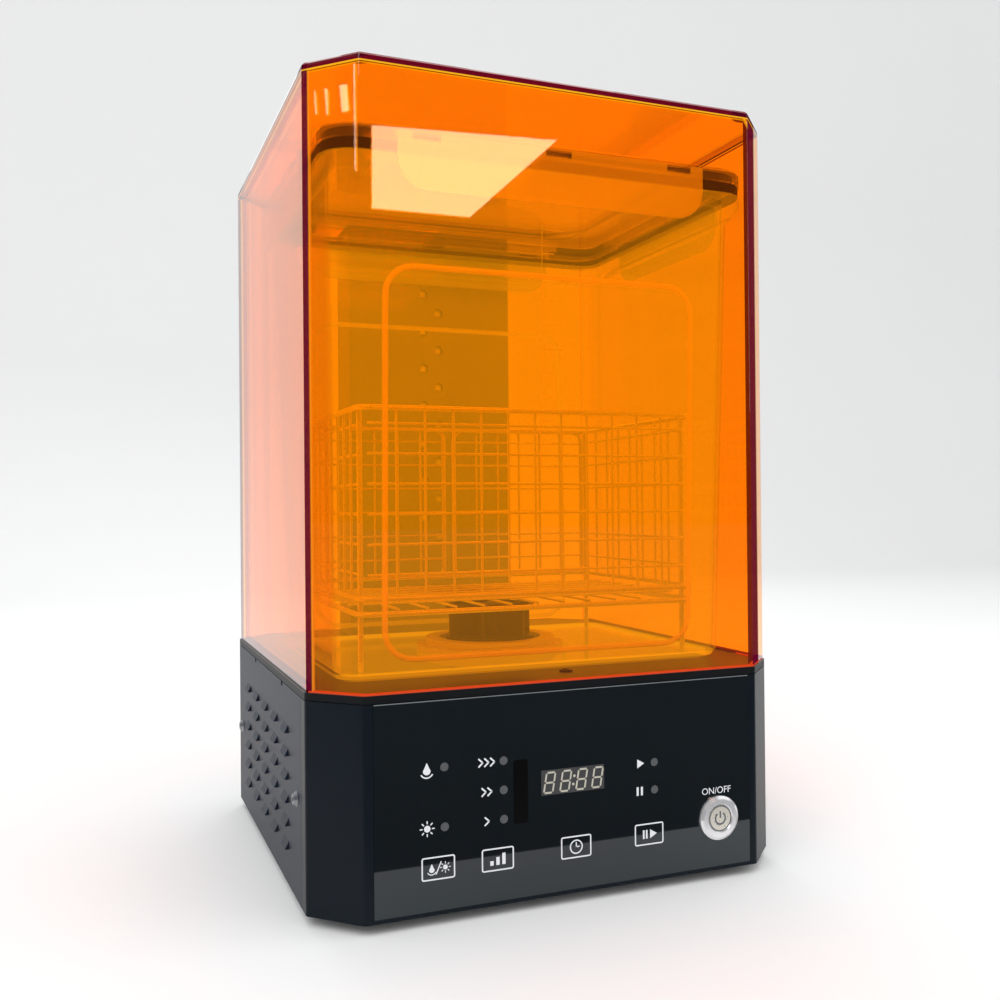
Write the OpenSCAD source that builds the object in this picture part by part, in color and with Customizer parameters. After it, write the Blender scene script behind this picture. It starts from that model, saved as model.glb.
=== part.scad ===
// Wash-and-cure light unit for small resin models: a low octagonal base with a glossy
// control panel, a lift-off amber hood, a clear wash tank with a latched lid, a wire
// basket, a magnet-driven impeller and an upright lamp column behind the tank.
// Origin: centre of the footprint on the floor. +Z is up and the control panel faces -Y.

/* [Overall] */
// Width across the flat sides of the base
body_w = 285; // [280:1:292]
// Depth from the control panel to the rear cover
body_d = 292; // [290:1:300]
// Height from the floor to the top of the hood
total_h = 449; // [446:1:470]
// Length that each corner chamfer takes from a side
chamfer = 25; // [22:1:28]
// Radius of the upright folds
fold_r = 3; // [1:0.5:5]

/* [Base] */
// Height of the rubber feet
foot_h = 6; // [4:0.5:8]
// Diameter of a rubber foot
foot_d = 22; // [16:1:26]
// Height of the deck's top face above the floor
deck_z = 121.5; // [118:0.5:126]
// Thickness of the deck plate
deck_t = 2; // [1.5:0.1:3]
// Height of the deck plate's turned-down edge, deck thickness included
lip_h = 4; // [3.5:0.1:6]
// Thickness of the sheet-metal covers
sheet_t = 1.2; // [0.8:0.1:1.6]
// Wall of the front shell and thickness of the glossy panel set into it
shell_t = 2; // [1.6:0.1:2.5]
// Gap at the seams between covers
seam_gap = 0.4; // [0.2:0.1:0.8]
// How far the front shell's wings reach behind the front folds
seam_back = 10; // [6:1:14]
// Height of a cover screw above the floor
side_screw_z = 60.5; // [55:0.5:66]

/* [Control panel] */
// Strip of front shell between a fold and the glossy panel
panel_margin = 4.5; // [3:0.5:8]
// Strip of front shell under the glossy panel
panel_sill = 2; // [1.5:0.5:6]
// Width of the display window
display_w = 38.2; // [34:0.2:42]
// Height of the display window
display_h = 13.8; // [12:0.2:16]
// Height of the display's centre above the floor
display_z = 67.6; // [64:0.2:72]
// Diameter of an indicator light
lamp_dot_d = 4.8; // [3:0.2:6]
// Height of the row of touch keys above the floor
key_z = 30.6; // [28:0.2:34]

/* [Power button] */
// Distance of the button's axis from the panel's right edge
button_in = 21.7; // [19:0.1:29]
// Height of the button's axis above the floor
button_z = 36.2; // [34:0.1:42]
// Diameter of the bezel
bezel_d = 25.2; // [24:0.1:27]
// How far the bezel and the power socket stand out of their covers
proud = 2.5; // [1.5:0.1:4]
// Diameter of the threaded barrel
barrel_d = 22; // [19:0.1:22.4]
// Diameter of the push cap
cap_d = 15; // [12:0.1:17]
// Travel of the push cap
cap_travel = 1.5; // [1:0.1:2]

/* [Side vents] */
// Number of vent columns on a side cover
vent_cols = 5; // [3:1:6]
// Number of vents in a column
vent_rows = 6; // [3:1:7]
// Distance between vent columns
vent_pitch_y = 35; // [28:0.5:38]
// Distance between vents in a column
vent_pitch_z = 13; // [11:0.5:14]
// Height of the lowest vent above the floor
vent_z = 26; // [22:0.5:30]
// Length of a vent louvre
louvre_len = 14; // [10:0.5:20]
// Height of a vent louvre
louvre_h = 4.5; // [3.5:0.1:5]
// How far a vent louvre stands out
louvre_out = 2.2; // [1.4:0.1:2.4]

/* [Hood] */
// How far the hood stands in from the edge of the deck
hood_inset = 1; // [0.5:0.1:2]
// Thickness of the hood's upright walls
hood_wall = 3; // [2.5:0.1:3.5]
// Thickness of the hood's top
hood_top_t = 4; // [3:0.1:5]
// Radius of the hood's top edge
hood_edge_r = 3; // [1:0.5:4]

/* [Wash tank] */
// Gap between the front latch and the inside of the hood
front_gap = 9; // [7:0.5:11]
// Gap between the rear latch and the lamp column
back_gap = 6; // [4:0.5:8]
// How far each side wall leans out over the tank's height
side_draft = 4.5; // [3:0.5:6]
// How far the front and back walls lean out over the tank's height
front_draft = 9; // [7:0.5:11]
// Wall of the tank
tank_wall = 2.2; // [1.8:0.1:2.6]
// Radius of the tank's upright corners
tank_corner_r = 12; // [9:0.5:14]
// Thickness of the tank's rim
rim_t = 6; // [4:0.5:8]
// How far the rim stands out at the front and back of the tank
rim_out = 12.5; // [11:0.5:14]
// How far the rim stands out at the sides of the tank
rim_side = 5; // [4:0.5:7]
// Radius of the rim's corners
rim_r = 20; // [16:0.5:24]
// Distance from the panel framed on the front and back walls to the tank's sides
bead_inset = 24.5; // [20:0.5:32]
// Width of the bead round that panel
bead_w = 3.4; // [2:0.1:5]

/* [Lid] */
// Gap between the lid and the top of the hood
headroom = 25; // [22:0.5:30]
// Height of the gasket that shows between rim and lid
gasket_h = 6; // [4:0.5:8]
// Height of the lid above the gasket
lid_h = 9; // [8:0.5:10]
// Wall of the lid
lid_wall = 2.4; // [2:0.1:3]
// Distance from the front and rear latches to the ends of the rim
long_latch_end = 38; // [34:0.5:48]
// Distance from the side latches to the ends of the rim
short_latch_end = 44.5; // [40:0.5:55]
// Height of a latch from its hinge axis to its lower edge
latch_drop = 29; // [26:0.5:31]
// How far a latch's outer face stands out from the rim
latch_out = 4.5; // [4.2:0.1:4.6]
// Radius of the hinge pins
pin_r = 1.1; // [0.9:0.05:1.2]

/* [Basket] */
// Gap between the basket's rim and the tank's side at its floor
basket_side_gap = 10.8; // [8:0.1:16]
// Gap between the basket's rim and the tank's front and back at its floor
basket_front_gap = 5.8; // [5.5:0.1:10]
// Height from the basket's lower rim to its upper rim
basket_h = 115; // [100:1:125]
// Clear height under the basket
basket_leg = 33; // [31:0.5:40]
// Diameter of the frame wire
frame_wire = 3.2; // [2.6:0.1:4]
// Diameter of the mesh wire
mesh_wire = 1.6; // [1.2:0.1:2]
// Distance between mesh wires
mesh_pitch = 17; // [14:0.5:20]

/* [Drive] */
// Diameter of the impeller over its vanes
impeller_d = 58; // [52:1:62]
// Height of the impeller
impeller_h = 27; // [24:0.5:28]
// Radius of the pin that the impeller turns on
spindle_r = 2; // [1.5:0.1:2.5]
// Radial running clearance on the pin, the motor shaft and the push cap
running = 0.06; // [0.03:0.01:0.09]
// Diameter of the drive rotor
rotor_d = 64; // [56:1:72]
// Diameter of the motor
motor_d = 37; // [32:1:42]
// Diameter of a coupling magnet
magnet_d = 12; // [8:0.5:14]

/* [Lamp column] */
// Width of the lamp column
lamp_w = 128; // [110:1:136]
// Depth of the lamp column
lamp_d = 36; // [30:1:37]
// Gap between the lamp column and the inside of the hood
lamp_gap = 5; // [4:0.5:6]
// Gap between the lamp column and the top of the hood
lamp_room = 17.5; // [12:0.5:24]
// Number of lamps
led_count = 14; // [8:1:18]
// Upright step from one lamp to the next
led_step = 14.25; // [12:0.25:15]
// Distance between the two staggered rows of lamps
led_row_gap = 12; // [10:0.5:20]
// Distance from the top of the lamp column to the highest lamp
led_drop = 48; // [36:1:56]

/* [Hidden] */

$fn = 48;
cut = 1;
half_w = body_w / 2;
half_d = body_d / 2;
flat_y = half_d - chamfer;
cover_top = deck_z - lip_h - seam_gap;
deck_under = deck_z - deck_t;
tray_t = 1.5;
tray_wall_h = 10;
tray_gap = 0.3;
tray_inset = shell_t + tray_gap;
inner_x = half_w - shell_t;

panel_w = body_w - 2 * chamfer - 2 * panel_margin;
button_x = panel_w / 2 - button_in;
panel_z = foot_h + panel_sill;
panel_back = -half_d + shell_t;
ledge_w = 4;
ledge_t = 2;
ledge_back = panel_back + ledge_t;
board_y = ledge_back + 8;
board_t = 1.6;
board_half_w = panel_w / 2 + 1;
board_low = panel_z + 6;
board_high = cover_top - 16;
board_post_r = 3;
board_post_x = board_half_w - board_post_r;
board_post_zs = [board_low + 6, board_high - 6];
mode_x = -78.7;
speed_x = -45.6;
time_x = 0.4;
run_x = 45.8;
key_xs = [mode_x, speed_x, time_x, run_x];
contact_r = 5;
dot_in = 3.7;
dot_step = 0.8;
dot_high = 82;
dot_mid = 66.5;
dot_low = 51;
run_dot_high = 72.2;
run_dot_low = 56.8;
dot_places = [[mode_x + dot_in, dot_high], [mode_x + dot_in, dot_low],
  [speed_x + dot_in, dot_high], [speed_x + dot_in, dot_mid], [speed_x + dot_in, dot_low],
  [run_x + dot_in, run_dot_high], [run_x + dot_in, run_dot_low]];
display_x = -1.2;
fit = 0.15;

screw_head_r = 4.2;
screw_head_h = 2.2;
screw_r = 2;
side_screw_ys = [-flat_y + seam_back + 14, flat_y - 14];
tab_h = 44;
tab_reach = 24;
rear_screw_xs = [-half_w + chamfer + 12, half_w - chamfer - 12];
rear_screw_zs = [foot_h + 6, deck_z - 14];
slot_low = 30;
slot_drop = 26;
slot_high = cover_top - slot_drop;
vent_mid_y = 4;
notch_ys = [-54, 44];
notch_w = 4;
notch_h = 2.5;
socket_x = -78;
socket_z = 38;
skirt_h = 22;
sensor_x = 10.4;
sensor_y = -half_d + 32.5;
sensor_r = 2.6;
foot_x = half_w - 32;
foot_y = half_d - 25;
power_board_w = 90;
power_board_d = 60;
power_board_x = 10;
power_board_y = half_d - 86;
power_board_lift = 8;
tallest_part = 26;
post_r = 5;
post_x = half_w - 30;
post_y = half_d - 36;

hood_in_x = half_w - hood_inset - hood_wall;
hood_in_y = half_d - hood_inset - hood_wall;
ceiling_z = total_h - hood_top_t;

lamp_back = hood_in_y - lamp_gap;
lamp_face = lamp_back - lamp_d;
lamp_h = ceiling_z - lamp_room - deck_z;
led_top = lamp_h - led_drop;

latch_gap = 2.5;
rim_front = hood_in_y - front_gap - latch_out;
rim_back = lamp_face - back_gap - latch_out;
rim_w = 2 * (hood_in_x - latch_gap - latch_out);
rim_d = rim_front + rim_back;
tank_y = (rim_back - rim_front) / 2;
tank_h = ceiling_z - headroom - lid_h - gasket_h - deck_z;
tank_mouth_w = rim_w - 2 * rim_side;
tank_mouth_d = rim_d - 2 * rim_out;
tank_floor_w = tank_mouth_w - 2 * side_draft;
tank_floor_d = tank_mouth_d - 2 * front_draft;
rim_top = deck_z + tank_h;
rim_skirt = 8;
tank_floor_t = 3;
tank_edge_r = 6;
floor_top = deck_z + tank_floor_t;
bead_drop = 56.5;
bead_frame_w = tank_floor_w - 2 * bead_inset;
bead_low = deck_z + 11.5;
bead_high = rim_top - bead_drop;
bead_r = 18;
bead_out = 1.2;
draft_x = side_draft / tank_h;
draft_y = front_draft / tank_h;

lid_low = rim_top + gasket_h;
lid_top = lid_low + lid_h;
lid_edge_r = 2.5;
border_side = 35;
border_front = 30;
long_latch = rim_w - 2 * long_latch_end;
short_latch = rim_d - 2 * short_latch_end;
plug_gap = 1.2;
plug_drop = 4;
plug_t = 2;
hinge_r = 2.1;
hinge_in = latch_out - hinge_r;
hinge_z = lid_low + 3;
latch_t = 2;
latch_r = 17;
knuckle_len = 16;
knuckle_gap = 0.3;
snap_z = rim_top - rim_t - rim_skirt + 1;
snap_t = 1.8;
snap_gap = 0.4;

basket_w = tank_floor_w - 2 * tank_wall - 2 * basket_side_gap;
basket_d = tank_floor_d - 2 * tank_wall - 2 * basket_front_gap;
basket_y = tank_y - 1;
basket_low = floor_top + basket_leg;
basket_high = basket_low + basket_h;
basket_r = 9;
basket_second = basket_low + 8.5;
rim_wire_w = basket_w - frame_wire;
rim_wire_d = basket_d - frame_wire;
mesh_w = rim_wire_w - frame_wire - mesh_wire;
mesh_d = rim_wire_d - frame_wire - mesh_wire;
mesh_top = basket_high - 8.5;
mesh_rows = floor((mesh_top - basket_second) / mesh_pitch) + 1;
weld = mesh_wire * 0.8;
leg_x = rim_wire_w / 2 - frame_wire;
leg_y = rim_wire_d / 2 - basket_r - frame_wire / 2;
panel_split = 3.9;
panel_r = 7;

motor_h = 30;
motor_plate_t = 2;
motor_bolt_ring = 13;
motor_screw_r = 1.4;
motor_screw_head = 1.4;
boss_r = 6;
rotor_t = 5;
rotor_gap = 2.5;
rotor_top = deck_under - rotor_gap;
motor_top = rotor_top - rotor_t - motor_screw_head - 1 - motor_plate_t;
motor_post_r = 3;
motor_post_in = rotor_d / 2 + 4;
shaft_r = 2.5;
hub_r = 8;
magnet_t = 4;
magnet_ring = impeller_d / 2 - magnet_d / 2 - 3;
magnet_count = 4;
impeller_z = floor_top + 1.5;
vane_count = 6;
impeller_base = 7;
seat_in = impeller_d / 2 + 4;
seat_out = impeller_d / 2 + 19;
seat_ledge = 6;
seat_step = 3.5;
seat_h = 7.5;

lamp_t = 1.5;
lamp_front_t = 2;
lamp_rib = 2;
led_size = 5;
led_hole_r = 3.6;
lamp_board_side = 9;
lamp_board_end = 12;
lamp_board_w = led_row_gap + 2 * lamp_board_side;

// Unit vector along v
function unit(v) = v / norm(v);

// An outline given counter-clockwise, with each corner turned into an arc of n steps
function rounded(points, r, n) = [
  for (i = [0 : len(points) - 1])
    let (
      p = points[i],
      before = unit(points[(i + len(points) - 1) % len(points)] - p),
      after = unit(points[(i + 1) % len(points)] - p),
      half = acos(before * after) / 2,
      centre = p + unit(before + after) * r / sin(half),
      start = p + before * r / tan(half) - centre,
      first = atan2(start[1], start[0]),
      sweep = 180 - 2 * half
    )
    for (k = [0 : n])
      centre + r * [cos(first + sweep * k / n), sin(first + sweep * k / n)]
];

// Corners of the octagonal footprint, moved in by an inset
function octagon(inset) =
  let (x = half_w - inset, y = half_d - inset, c = chamfer - inset * (2 - sqrt(2)))
  [[-x, -y + c], [-x + c, -y], [x - c, -y], [x, -y + c],
   [x, y - c], [x - c, y], [-x + c, y], [-x, y - c]];

// Corners of a rectangle centred on the origin
function rectangle(w, d) = [[-w, -d] / 2, [w, -d] / 2, [w, d] / 2, [-w, d] / 2];

// Size of the tank's outline at a height above its foot
function tank_w(h) = tank_floor_w + 2 * draft_x * h;
function tank_d(h) = tank_floor_d + 2 * draft_y * h;

// Footprint outline with rounded folds
module footprint(inset = 0, n = 3) {
  polygon(rounded(octagon(inset), max(fold_r - inset, 0.6), n));
}

// Outline of the tray, clear of the covers and of the ledge behind the panel
module tray_outline(inset = 0) {
  intersection() {
    footprint(tray_inset + inset);
    translate([-body_w / 2, ledge_back + tray_gap + inset])
      square([body_w, body_d - 2 * inset - 2 * tray_inset]);
  }
}

// Upright edge of the tray, and the deck's inner skirt above it
module tray_wall(low, high) {
  translate([0, 0, low])
    linear_extrude(high - low)
      difference() {
        tray_outline();
        tray_outline(tray_t);
      }
}

// Upright wall that follows the footprint
module footprint_wall(low, high, t, inset = 0) {
  translate([0, 0, low])
    linear_extrude(high - low)
      difference() {
        footprint(inset);
        footprint(inset + t);
      }
}

// Rounded rectangle centred on the tank
module tank_outline(w, d, r, n = 6) {
  translate([0, tank_y])
    polygon(rounded(rectangle(w, d), r, n));
}

// Thin slice of such an outline at a height, used to loft between sizes
module slice(z, w, d, r) {
  translate([0, 0, z])
    linear_extrude(0.02)
      tank_outline(w, d, r);
}

// Ring between two rounded rectangles centred on the tank
module tank_ring(low, high, w, d, r, t) {
  translate([0, 0, low])
    linear_extrude(high - low)
      difference() {
        tank_outline(w, d, r);
        tank_outline(w - 2 * t, d - 2 * t, max(r - t, 1));
      }
}

// Cylinder along Y from one y to another
module rod_y(x, z, r, from, to) {
  translate([x, from, z])
    rotate([-90, 0, 0])
      cylinder(h = to - from, r = r);
}

// Cylinder along X from one x to another
module rod_x(y, z, r, from, to) {
  translate([from, y, z])
    rotate([0, 90, 0])
      cylinder(h = to - from, r = r);
}

// Box from one corner to the opposite one
module block(low, high) {
  translate(low)
    cube(high - low);
}

// Half space used to keep the front or the back of a wall
module in_front_of(y) {
  block([-body_w, -body_d, -cut], [body_w, y, total_h]);
}

module behind(y) {
  block([-body_w, y, -cut], [body_w, body_d, total_h]);
}

// Bores for the rear cover's screws
module rear_screw_bores(r) {
  for (x = rear_screw_xs, z = rear_screw_zs)
    rod_y(x, z, r, half_d - tray_inset - tray_t - cut, half_d + cut);
}

// Pan under the base with an upright edge and supports for the power board
module base_tray() {
  color("#3b4048")
    difference() {
      union() {
        translate([0, 0, foot_h])
          linear_extrude(tray_t)
            tray_outline();
        tray_wall(foot_h + tray_t, foot_h + tray_t + tray_wall_h);
        for (x = [4, power_board_w - 4], y = [4, power_board_d - 4])
          translate([power_board_x + x, power_board_y + y, foot_h + tray_t])
            cylinder(h = power_board_lift, r = 3);
      }
      rear_screw_bores(screw_r);
    }
}

// Four rubber feet, slightly tapered
module rubber_feet() {
  color("#1b1c1e")
    for (x = [-foot_x, foot_x], y = [-foot_y, foot_y])
      translate([x, y, 0])
        cylinder(h = foot_h, d1 = foot_d - 2, d2 = foot_d);
}

// Four columns that carry the deck
module deck_posts() {
  color("#9a9da2")
    for (x = [-post_x, post_x], y = [-post_y, post_y])
      translate([x, y, foot_h + tray_t])
        cylinder(h = deck_under - foot_h - tray_t, r = post_r);
}

// Screwed tab that backs a side cover at one end
module cover_tab(side, from, to) {
  x = half_w - sheet_t;
  block([side > 0 ? x - shell_t : -x, from, side_screw_z - tab_h / 2],
        [side > 0 ? x : -x + shell_t, to, side_screw_z + tab_h / 2]);
}

// Bore for a cover screw, through a side of the base
module side_screw_bore(y, r) {
  rod_x(y, side_screw_z, r, -half_w - cut, half_w + cut);
}

// Folded front of the base: both front chamfers, the frame and the ledge for the panel
module front_shell() {
  seam = -flat_y + seam_back;
  color("#20242b")
    difference() {
      union() {
        intersection() {
          footprint_wall(foot_h, cover_top, shell_t);
          in_front_of(seam);
        }
        for (side = [-1, 1])
          cover_tab(side, seam - 6, seam + tab_reach);
        block([-panel_w / 2 - ledge_w, panel_back, foot_h],
              [panel_w / 2 + ledge_w, ledge_back, cover_top]);
        for (x = [-board_post_x, board_post_x], z = board_post_zs)
          rod_y(x, z, board_post_r, ledge_back, board_y);
      }
      block([-panel_w / 2, -half_d - cut, panel_z], [panel_w / 2, panel_back, cover_top + cut]);
      block([-panel_w / 2 + ledge_w, panel_back - cut, panel_z + ledge_w],
            [panel_w / 2 - ledge_w, ledge_back + cut, cover_top - ledge_w]);
      side_screw_bore(side_screw_ys[0], screw_r);
      for (x = [-board_post_x, board_post_x], z = board_post_zs)
        rod_y(x, z, 1, board_y - 6, board_y + cut);
    }
}

// Glossy black panel, flush with the front shell
module glossy_panel() {
  color("#0a0b0d")
    difference() {
      block([-panel_w / 2 + fit, -half_d, panel_z + fit], [panel_w / 2 - fit, panel_back, cover_top - fit]);
      rod_y(button_x, button_z, barrel_d / 2 + running, -half_d - cut, panel_back + cut);
      block([display_x - display_w / 2, -half_d - cut, display_z - display_h / 2],
            [display_x + display_w / 2, panel_back + cut, display_z + display_h / 2]);
      for (p = dot_places)
        rod_y(p[0], p[1], lamp_dot_d / 2, -half_d - cut, panel_back + cut);
    }
}

// One louvre on the left cover: a hollow wedge that opens downwards
module louvre(y, z) {
  translate([-half_w, y + louvre_len / 2, z])
    rotate([90, 0, 0])
      linear_extrude(louvre_len)
        polygon([[sheet_t / 2, 0], [-louvre_out, 0], [0, louvre_h], [sheet_t / 2, louvre_h]]);
}

module louvre_mouth(y, z) {
  skin = 0.7;
  reach = louvre_out - 1.5 * skin;
  translate([-half_w, y + louvre_len / 2 - skin, z])
    rotate([90, 0, 0])
      linear_extrude(louvre_len - 2 * skin)
        polygon([[sheet_t + cut, -0.01], [-reach, -0.01], [0, louvre_h - 2 * skin],
                 [sheet_t + cut, louvre_h - 2 * skin]]);
}

// Vented cover on the left side of the base
module side_cover() {
  low_y = -flat_y + seam_back + seam_gap;
  high_y = flat_y - 1;
  first_y = vent_mid_y - (vent_cols - 1) / 2 * vent_pitch_y;
  ys = [for (c = [0 : vent_cols - 1]) first_y + c * vent_pitch_y];
  zs = [for (r = [0 : vent_rows - 1]) vent_z + r * vent_pitch_z];
  difference() {
    union() {
      block([-half_w, low_y, foot_h], [-half_w + sheet_t, high_y, cover_top]);
      for (y = ys, z = zs)
        louvre(y, z);
    }
    for (y = ys, z = zs)
      louvre_mouth(y, z);
    for (y = side_screw_ys)
      side_screw_bore(y, screw_r + fit);
    for (y = notch_ys)
      block([-half_w - cut, y - notch_w / 2, cover_top - notch_h], [-half_w + sheet_t + cut, y + notch_w / 2, cover_top + cut]);
  }
}

module left_side_cover() {
  color("#4a5160")
    side_cover();
}

module right_side_cover() {
  color("#4a5160")
    mirror([1, 0, 0])
      side_cover();
}

// Folded rear of the base with both rear chamfers, air slots and the socket hole
module rear_cover() {
  seam = flat_y - 1 + seam_gap;
  color("#3a404b")
    difference() {
      union() {
        intersection() {
          footprint_wall(foot_h, cover_top, sheet_t);
          behind(seam);
        }
        for (side = [-1, 1])
          cover_tab(side, side_screw_ys[1] - 9, seam + 4);
      }
      side_screw_bore(side_screw_ys[1], screw_r);
      for (x = [-20 : 10 : 90])
        block([x - 1.5, half_d - sheet_t - cut, slot_low], [x + 1.5, half_d + cut, slot_high]);
      rod_y(socket_x, socket_z, 6, half_d - sheet_t - cut, half_d + cut);
      rear_screw_bores(screw_r + fit);
    }
}

// Black deck with a turned-down edge and an inner skirt behind the covers
module deck_plate() {
  color("#17181b")
    difference() {
      union() {
        translate([0, 0, deck_under])
          linear_extrude(deck_t)
            footprint();
        footprint_wall(deck_z - lip_h, deck_under, shell_t);
        tray_wall(deck_z - skirt_h, deck_under);
      }
      translate([sensor_x, sensor_y, deck_under - cut])
        cylinder(h = deck_t + 2 * cut, r = sensor_r);
      rear_screw_bores(screw_r);
    }
}

// Ring and button of the switch that senses the hood
module hood_sensor() {
  color("#2c2f34")
    translate([sensor_x, sensor_y, 0]) {
      translate([0, 0, deck_under - 6])
        cylinder(h = deck_t + 6, r = sensor_r);
      translate([0, 0, deck_z])
        difference() {
          cylinder(h = 0.8, r = 3.8);
          translate([0, 0, 0.3])
            cylinder(h = 1, r = 2.2);
        }
    }
}

// Button-head screw that points along +X, its head's seat at the origin
module screw(len, r = screw_r, head_r = screw_head_r, head_h = screw_head_h) {
  rotate([0, 90, 0]) {
    cylinder(h = len, r = r);
    difference() {
      translate([0, 0, -head_h])
        cylinder(h = head_h, r1 = head_r * 0.62, r2 = head_r);
      translate([0, 0, -head_h - cut])
        cylinder(h = cut + head_h * 0.55, r = r * 0.75, $fn = 6);
    }
  }
}

module side_screws() {
  color("#c9ccd2")
    for (y = side_screw_ys)
      for (side = [0, 1])
        mirror([side, 0, 0])
          translate([-half_w, y, side_screw_z])
            screw(sheet_t + shell_t + 2);
}

module rear_screws() {
  color("#2a2c30")
    for (x = rear_screw_xs, z = rear_screw_zs)
      translate([x, half_d, z])
        rotate([0, 0, -90])
          screw(sheet_t + tray_inset + 3, head_r = 3.2, head_h = 2);
}

// Board behind the panel, with a hole for the power button's barrel
module control_board() {
  color("#14532d")
    difference() {
      block([-board_half_w, board_y, board_low], [board_half_w, board_y + board_t, board_high]);
      rod_y(button_x, button_z, barrel_d / 2 + 3, board_y - cut, board_y + board_t + cut);
      for (x = [-board_post_x, board_post_x], z = board_post_zs)
        rod_y(x, z, 1.3, board_y - cut, board_y + board_t + cut);
    }
}

module board_screws() {
  color("#b9bcc2")
    for (x = [-board_post_x, board_post_x], z = board_post_zs)
      translate([x, board_y + board_t, z])
        rotate([0, 0, -90])
          screw(board_t + 5, r = 0.98, head_r = 2.2, head_h = 1.4);
}

module display_module() {
  color("#3c3f42")
    block([display_x - display_w / 2 + 0.4, panel_back, display_z - display_h / 2 + 0.4],
          [display_x + display_w / 2 - 0.4, board_y, display_z + display_h / 2 - 0.4]);
}

module display_lens() {
  color("#5a5d60")
    block([display_x - display_w / 2 + fit, -half_d, display_z - display_h / 2 + fit],
          [display_x + display_w / 2 - fit, panel_back, display_z + display_h / 2 - fit]);
}

module indicator_lenses() {
  color("#6d7278")
    for (p = dot_places) {
      rod_y(p[0], p[1], lamp_dot_d / 2 - fit, -half_d, panel_back);
      rod_y(p[0], p[1], lamp_dot_d / 2 - dot_step, panel_back, board_y);
    }
}

module touch_contacts() {
  color("#b87333")
    for (x = key_xs)
      rod_y(x, key_z, contact_r, panel_back, board_y);
}

// Turned metal button body: a bezel outside, a threaded barrel through the panel
module button_barrel() {
  front = -half_d - proud;
  color("#d6d8dc")
    translate([button_x, front, button_z])
      rotate([-90, 0, 0])
        difference() {
          rotate_extrude()
            polygon([[cap_d / 2 + running, 0.6], [cap_d / 2 + 0.7, 0], [bezel_d / 2 - 1.6, 0],
                     [bezel_d / 2, 1.1], [bezel_d / 2, proud], [barrel_d / 2, proud],
                     [barrel_d / 2, proud + 24], [5, proud + 24], [5, proud + 6],
                     [cap_d / 2 + running, proud + 6]]);
          translate([0, 0, -cut])
            cylinder(h = 2 * cut, r = cap_d / 2 + running);
        }
}

module button_nut() {
  color("#aeb1b7")
    translate([button_x, panel_back, button_z])
      rotate([-90, 0, 0])
        difference() {
          cylinder(h = 4, r = barrel_d / 2 + 3.2, $fn = 6);
          translate([0, 0, -cut])
            cylinder(h = 4 + 2 * cut, r = barrel_d / 2);
        }
}

// Push cap with its stem
module button_cap() {
  front = -half_d - proud + 0.3;
  color("#b9b2a2")
    translate([button_x, front, button_z])
      rotate([-90, 0, 0]) {
        cylinder(h = proud + 5.7 - cap_travel - 0.6, r = cap_d / 2);
        translate([0, 0, 1])
          cylinder(h = proud + 20, r = 4);
      }
}

module power_board() {
  color("#14532d")
    translate([power_board_x, power_board_y, foot_h + tray_t + power_board_lift])
      cube([power_board_w, power_board_d, board_t]);
}

// Transformer, heat sink, capacitors and connector on the power board
module power_board_parts() {
  w = power_board_w;
  d = power_board_d;
  tall = tallest_part;
  color("#5b6068")
    translate([power_board_x, power_board_y, foot_h + tray_t + power_board_lift + board_t]) {
      translate([w * 0.09, d * 0.17, 0])
        cube([w * 0.27, d * 0.4, tall * 0.77]);
      translate([w * 0.44, d * 0.1, 0])
        cube([w * 0.07, d * 0.77, tall]);
      for (y = [0.23, 0.53])
        translate([w * 0.64, d * y, 0])
          cylinder(h = tall * 0.85, r = w / 15);
      translate([w * 0.8, d * 0.13, 0])
        cube([w * 0.13, d * 0.33, tall * 0.46]);
    }
}

// Round power socket with its centre pin
module power_socket() {
  color("#1c1e22")
    translate([socket_x, half_d, socket_z])
      rotate([-90, 0, 0]) {
        difference() {
          union() {
            cylinder(h = proud, r = 7.5);
            translate([0, 0, -14])
              cylinder(h = 14, r = 5.9);
          }
          translate([0, 0, -9])
            cylinder(h = 9 + proud + cut, r = 3.2);
        }
        translate([0, 0, -10])
          cylinder(h = 10, r = 1);
      }
}

// Puts the child at each of the motor's four bolts
module at_motor_bolts() {
  for (a = [45 : 90 : 315])
    translate([motor_bolt_ring * cos(a), tank_y + motor_bolt_ring * sin(a), motor_top])
      children();
}

// Plate that hangs the motor from the deck on four posts
module motor_plate() {
  color("#8f949b")
    difference() {
      union() {
        translate([0, tank_y, motor_top])
          linear_extrude(motor_plate_t)
            polygon(rounded(rectangle(2 * motor_post_in + 12, 2 * motor_post_in + 12), 6, 4));
        for (x = [-motor_post_in, motor_post_in], y = [-motor_post_in, motor_post_in])
          translate([x, tank_y + y, motor_top + motor_plate_t])
            cylinder(h = deck_under - motor_top - motor_plate_t, r = motor_post_r);
      }
      translate([0, tank_y, motor_top - cut])
        cylinder(h = motor_plate_t + 2 * cut, r = boss_r + fit);
      at_motor_bolts()
        translate([0, 0, -cut])
          cylinder(h = motor_plate_t + 2 * cut, r = motor_screw_r + fit);
    }
}

module motor_screws() {
  color("#c3c6cb")
    at_motor_bolts()
      translate([0, 0, motor_plate_t])
        rotate([0, 90, 0])
          screw(motor_plate_t + 3, motor_screw_r, 2.6, motor_screw_head);
}

module drive_motor() {
  color("#6f747c")
    translate([0, tank_y, 0])
      difference() {
        union() {
          translate([0, 0, motor_top - motor_h])
            cylinder(h = motor_h, r = motor_d / 2);
          translate([0, 0, motor_top])
            cylinder(h = motor_plate_t - 0.4, r = boss_r);
        }
        translate([0, 0, motor_top - motor_h + 6])
          cylinder(h = motor_h + cut + motor_plate_t, r = shaft_r + running);
        translate([0, -tank_y, -4])
          at_motor_bolts()
            cylinder(h = 4 + cut, r = motor_screw_r);
      }
}

module motor_shaft() {
  color("#c9ccd1")
    translate([0, tank_y, motor_top - motor_h + 6.5])
      cylinder(h = rotor_top - motor_top + motor_h - 6.5, r = shaft_r);
}

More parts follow.
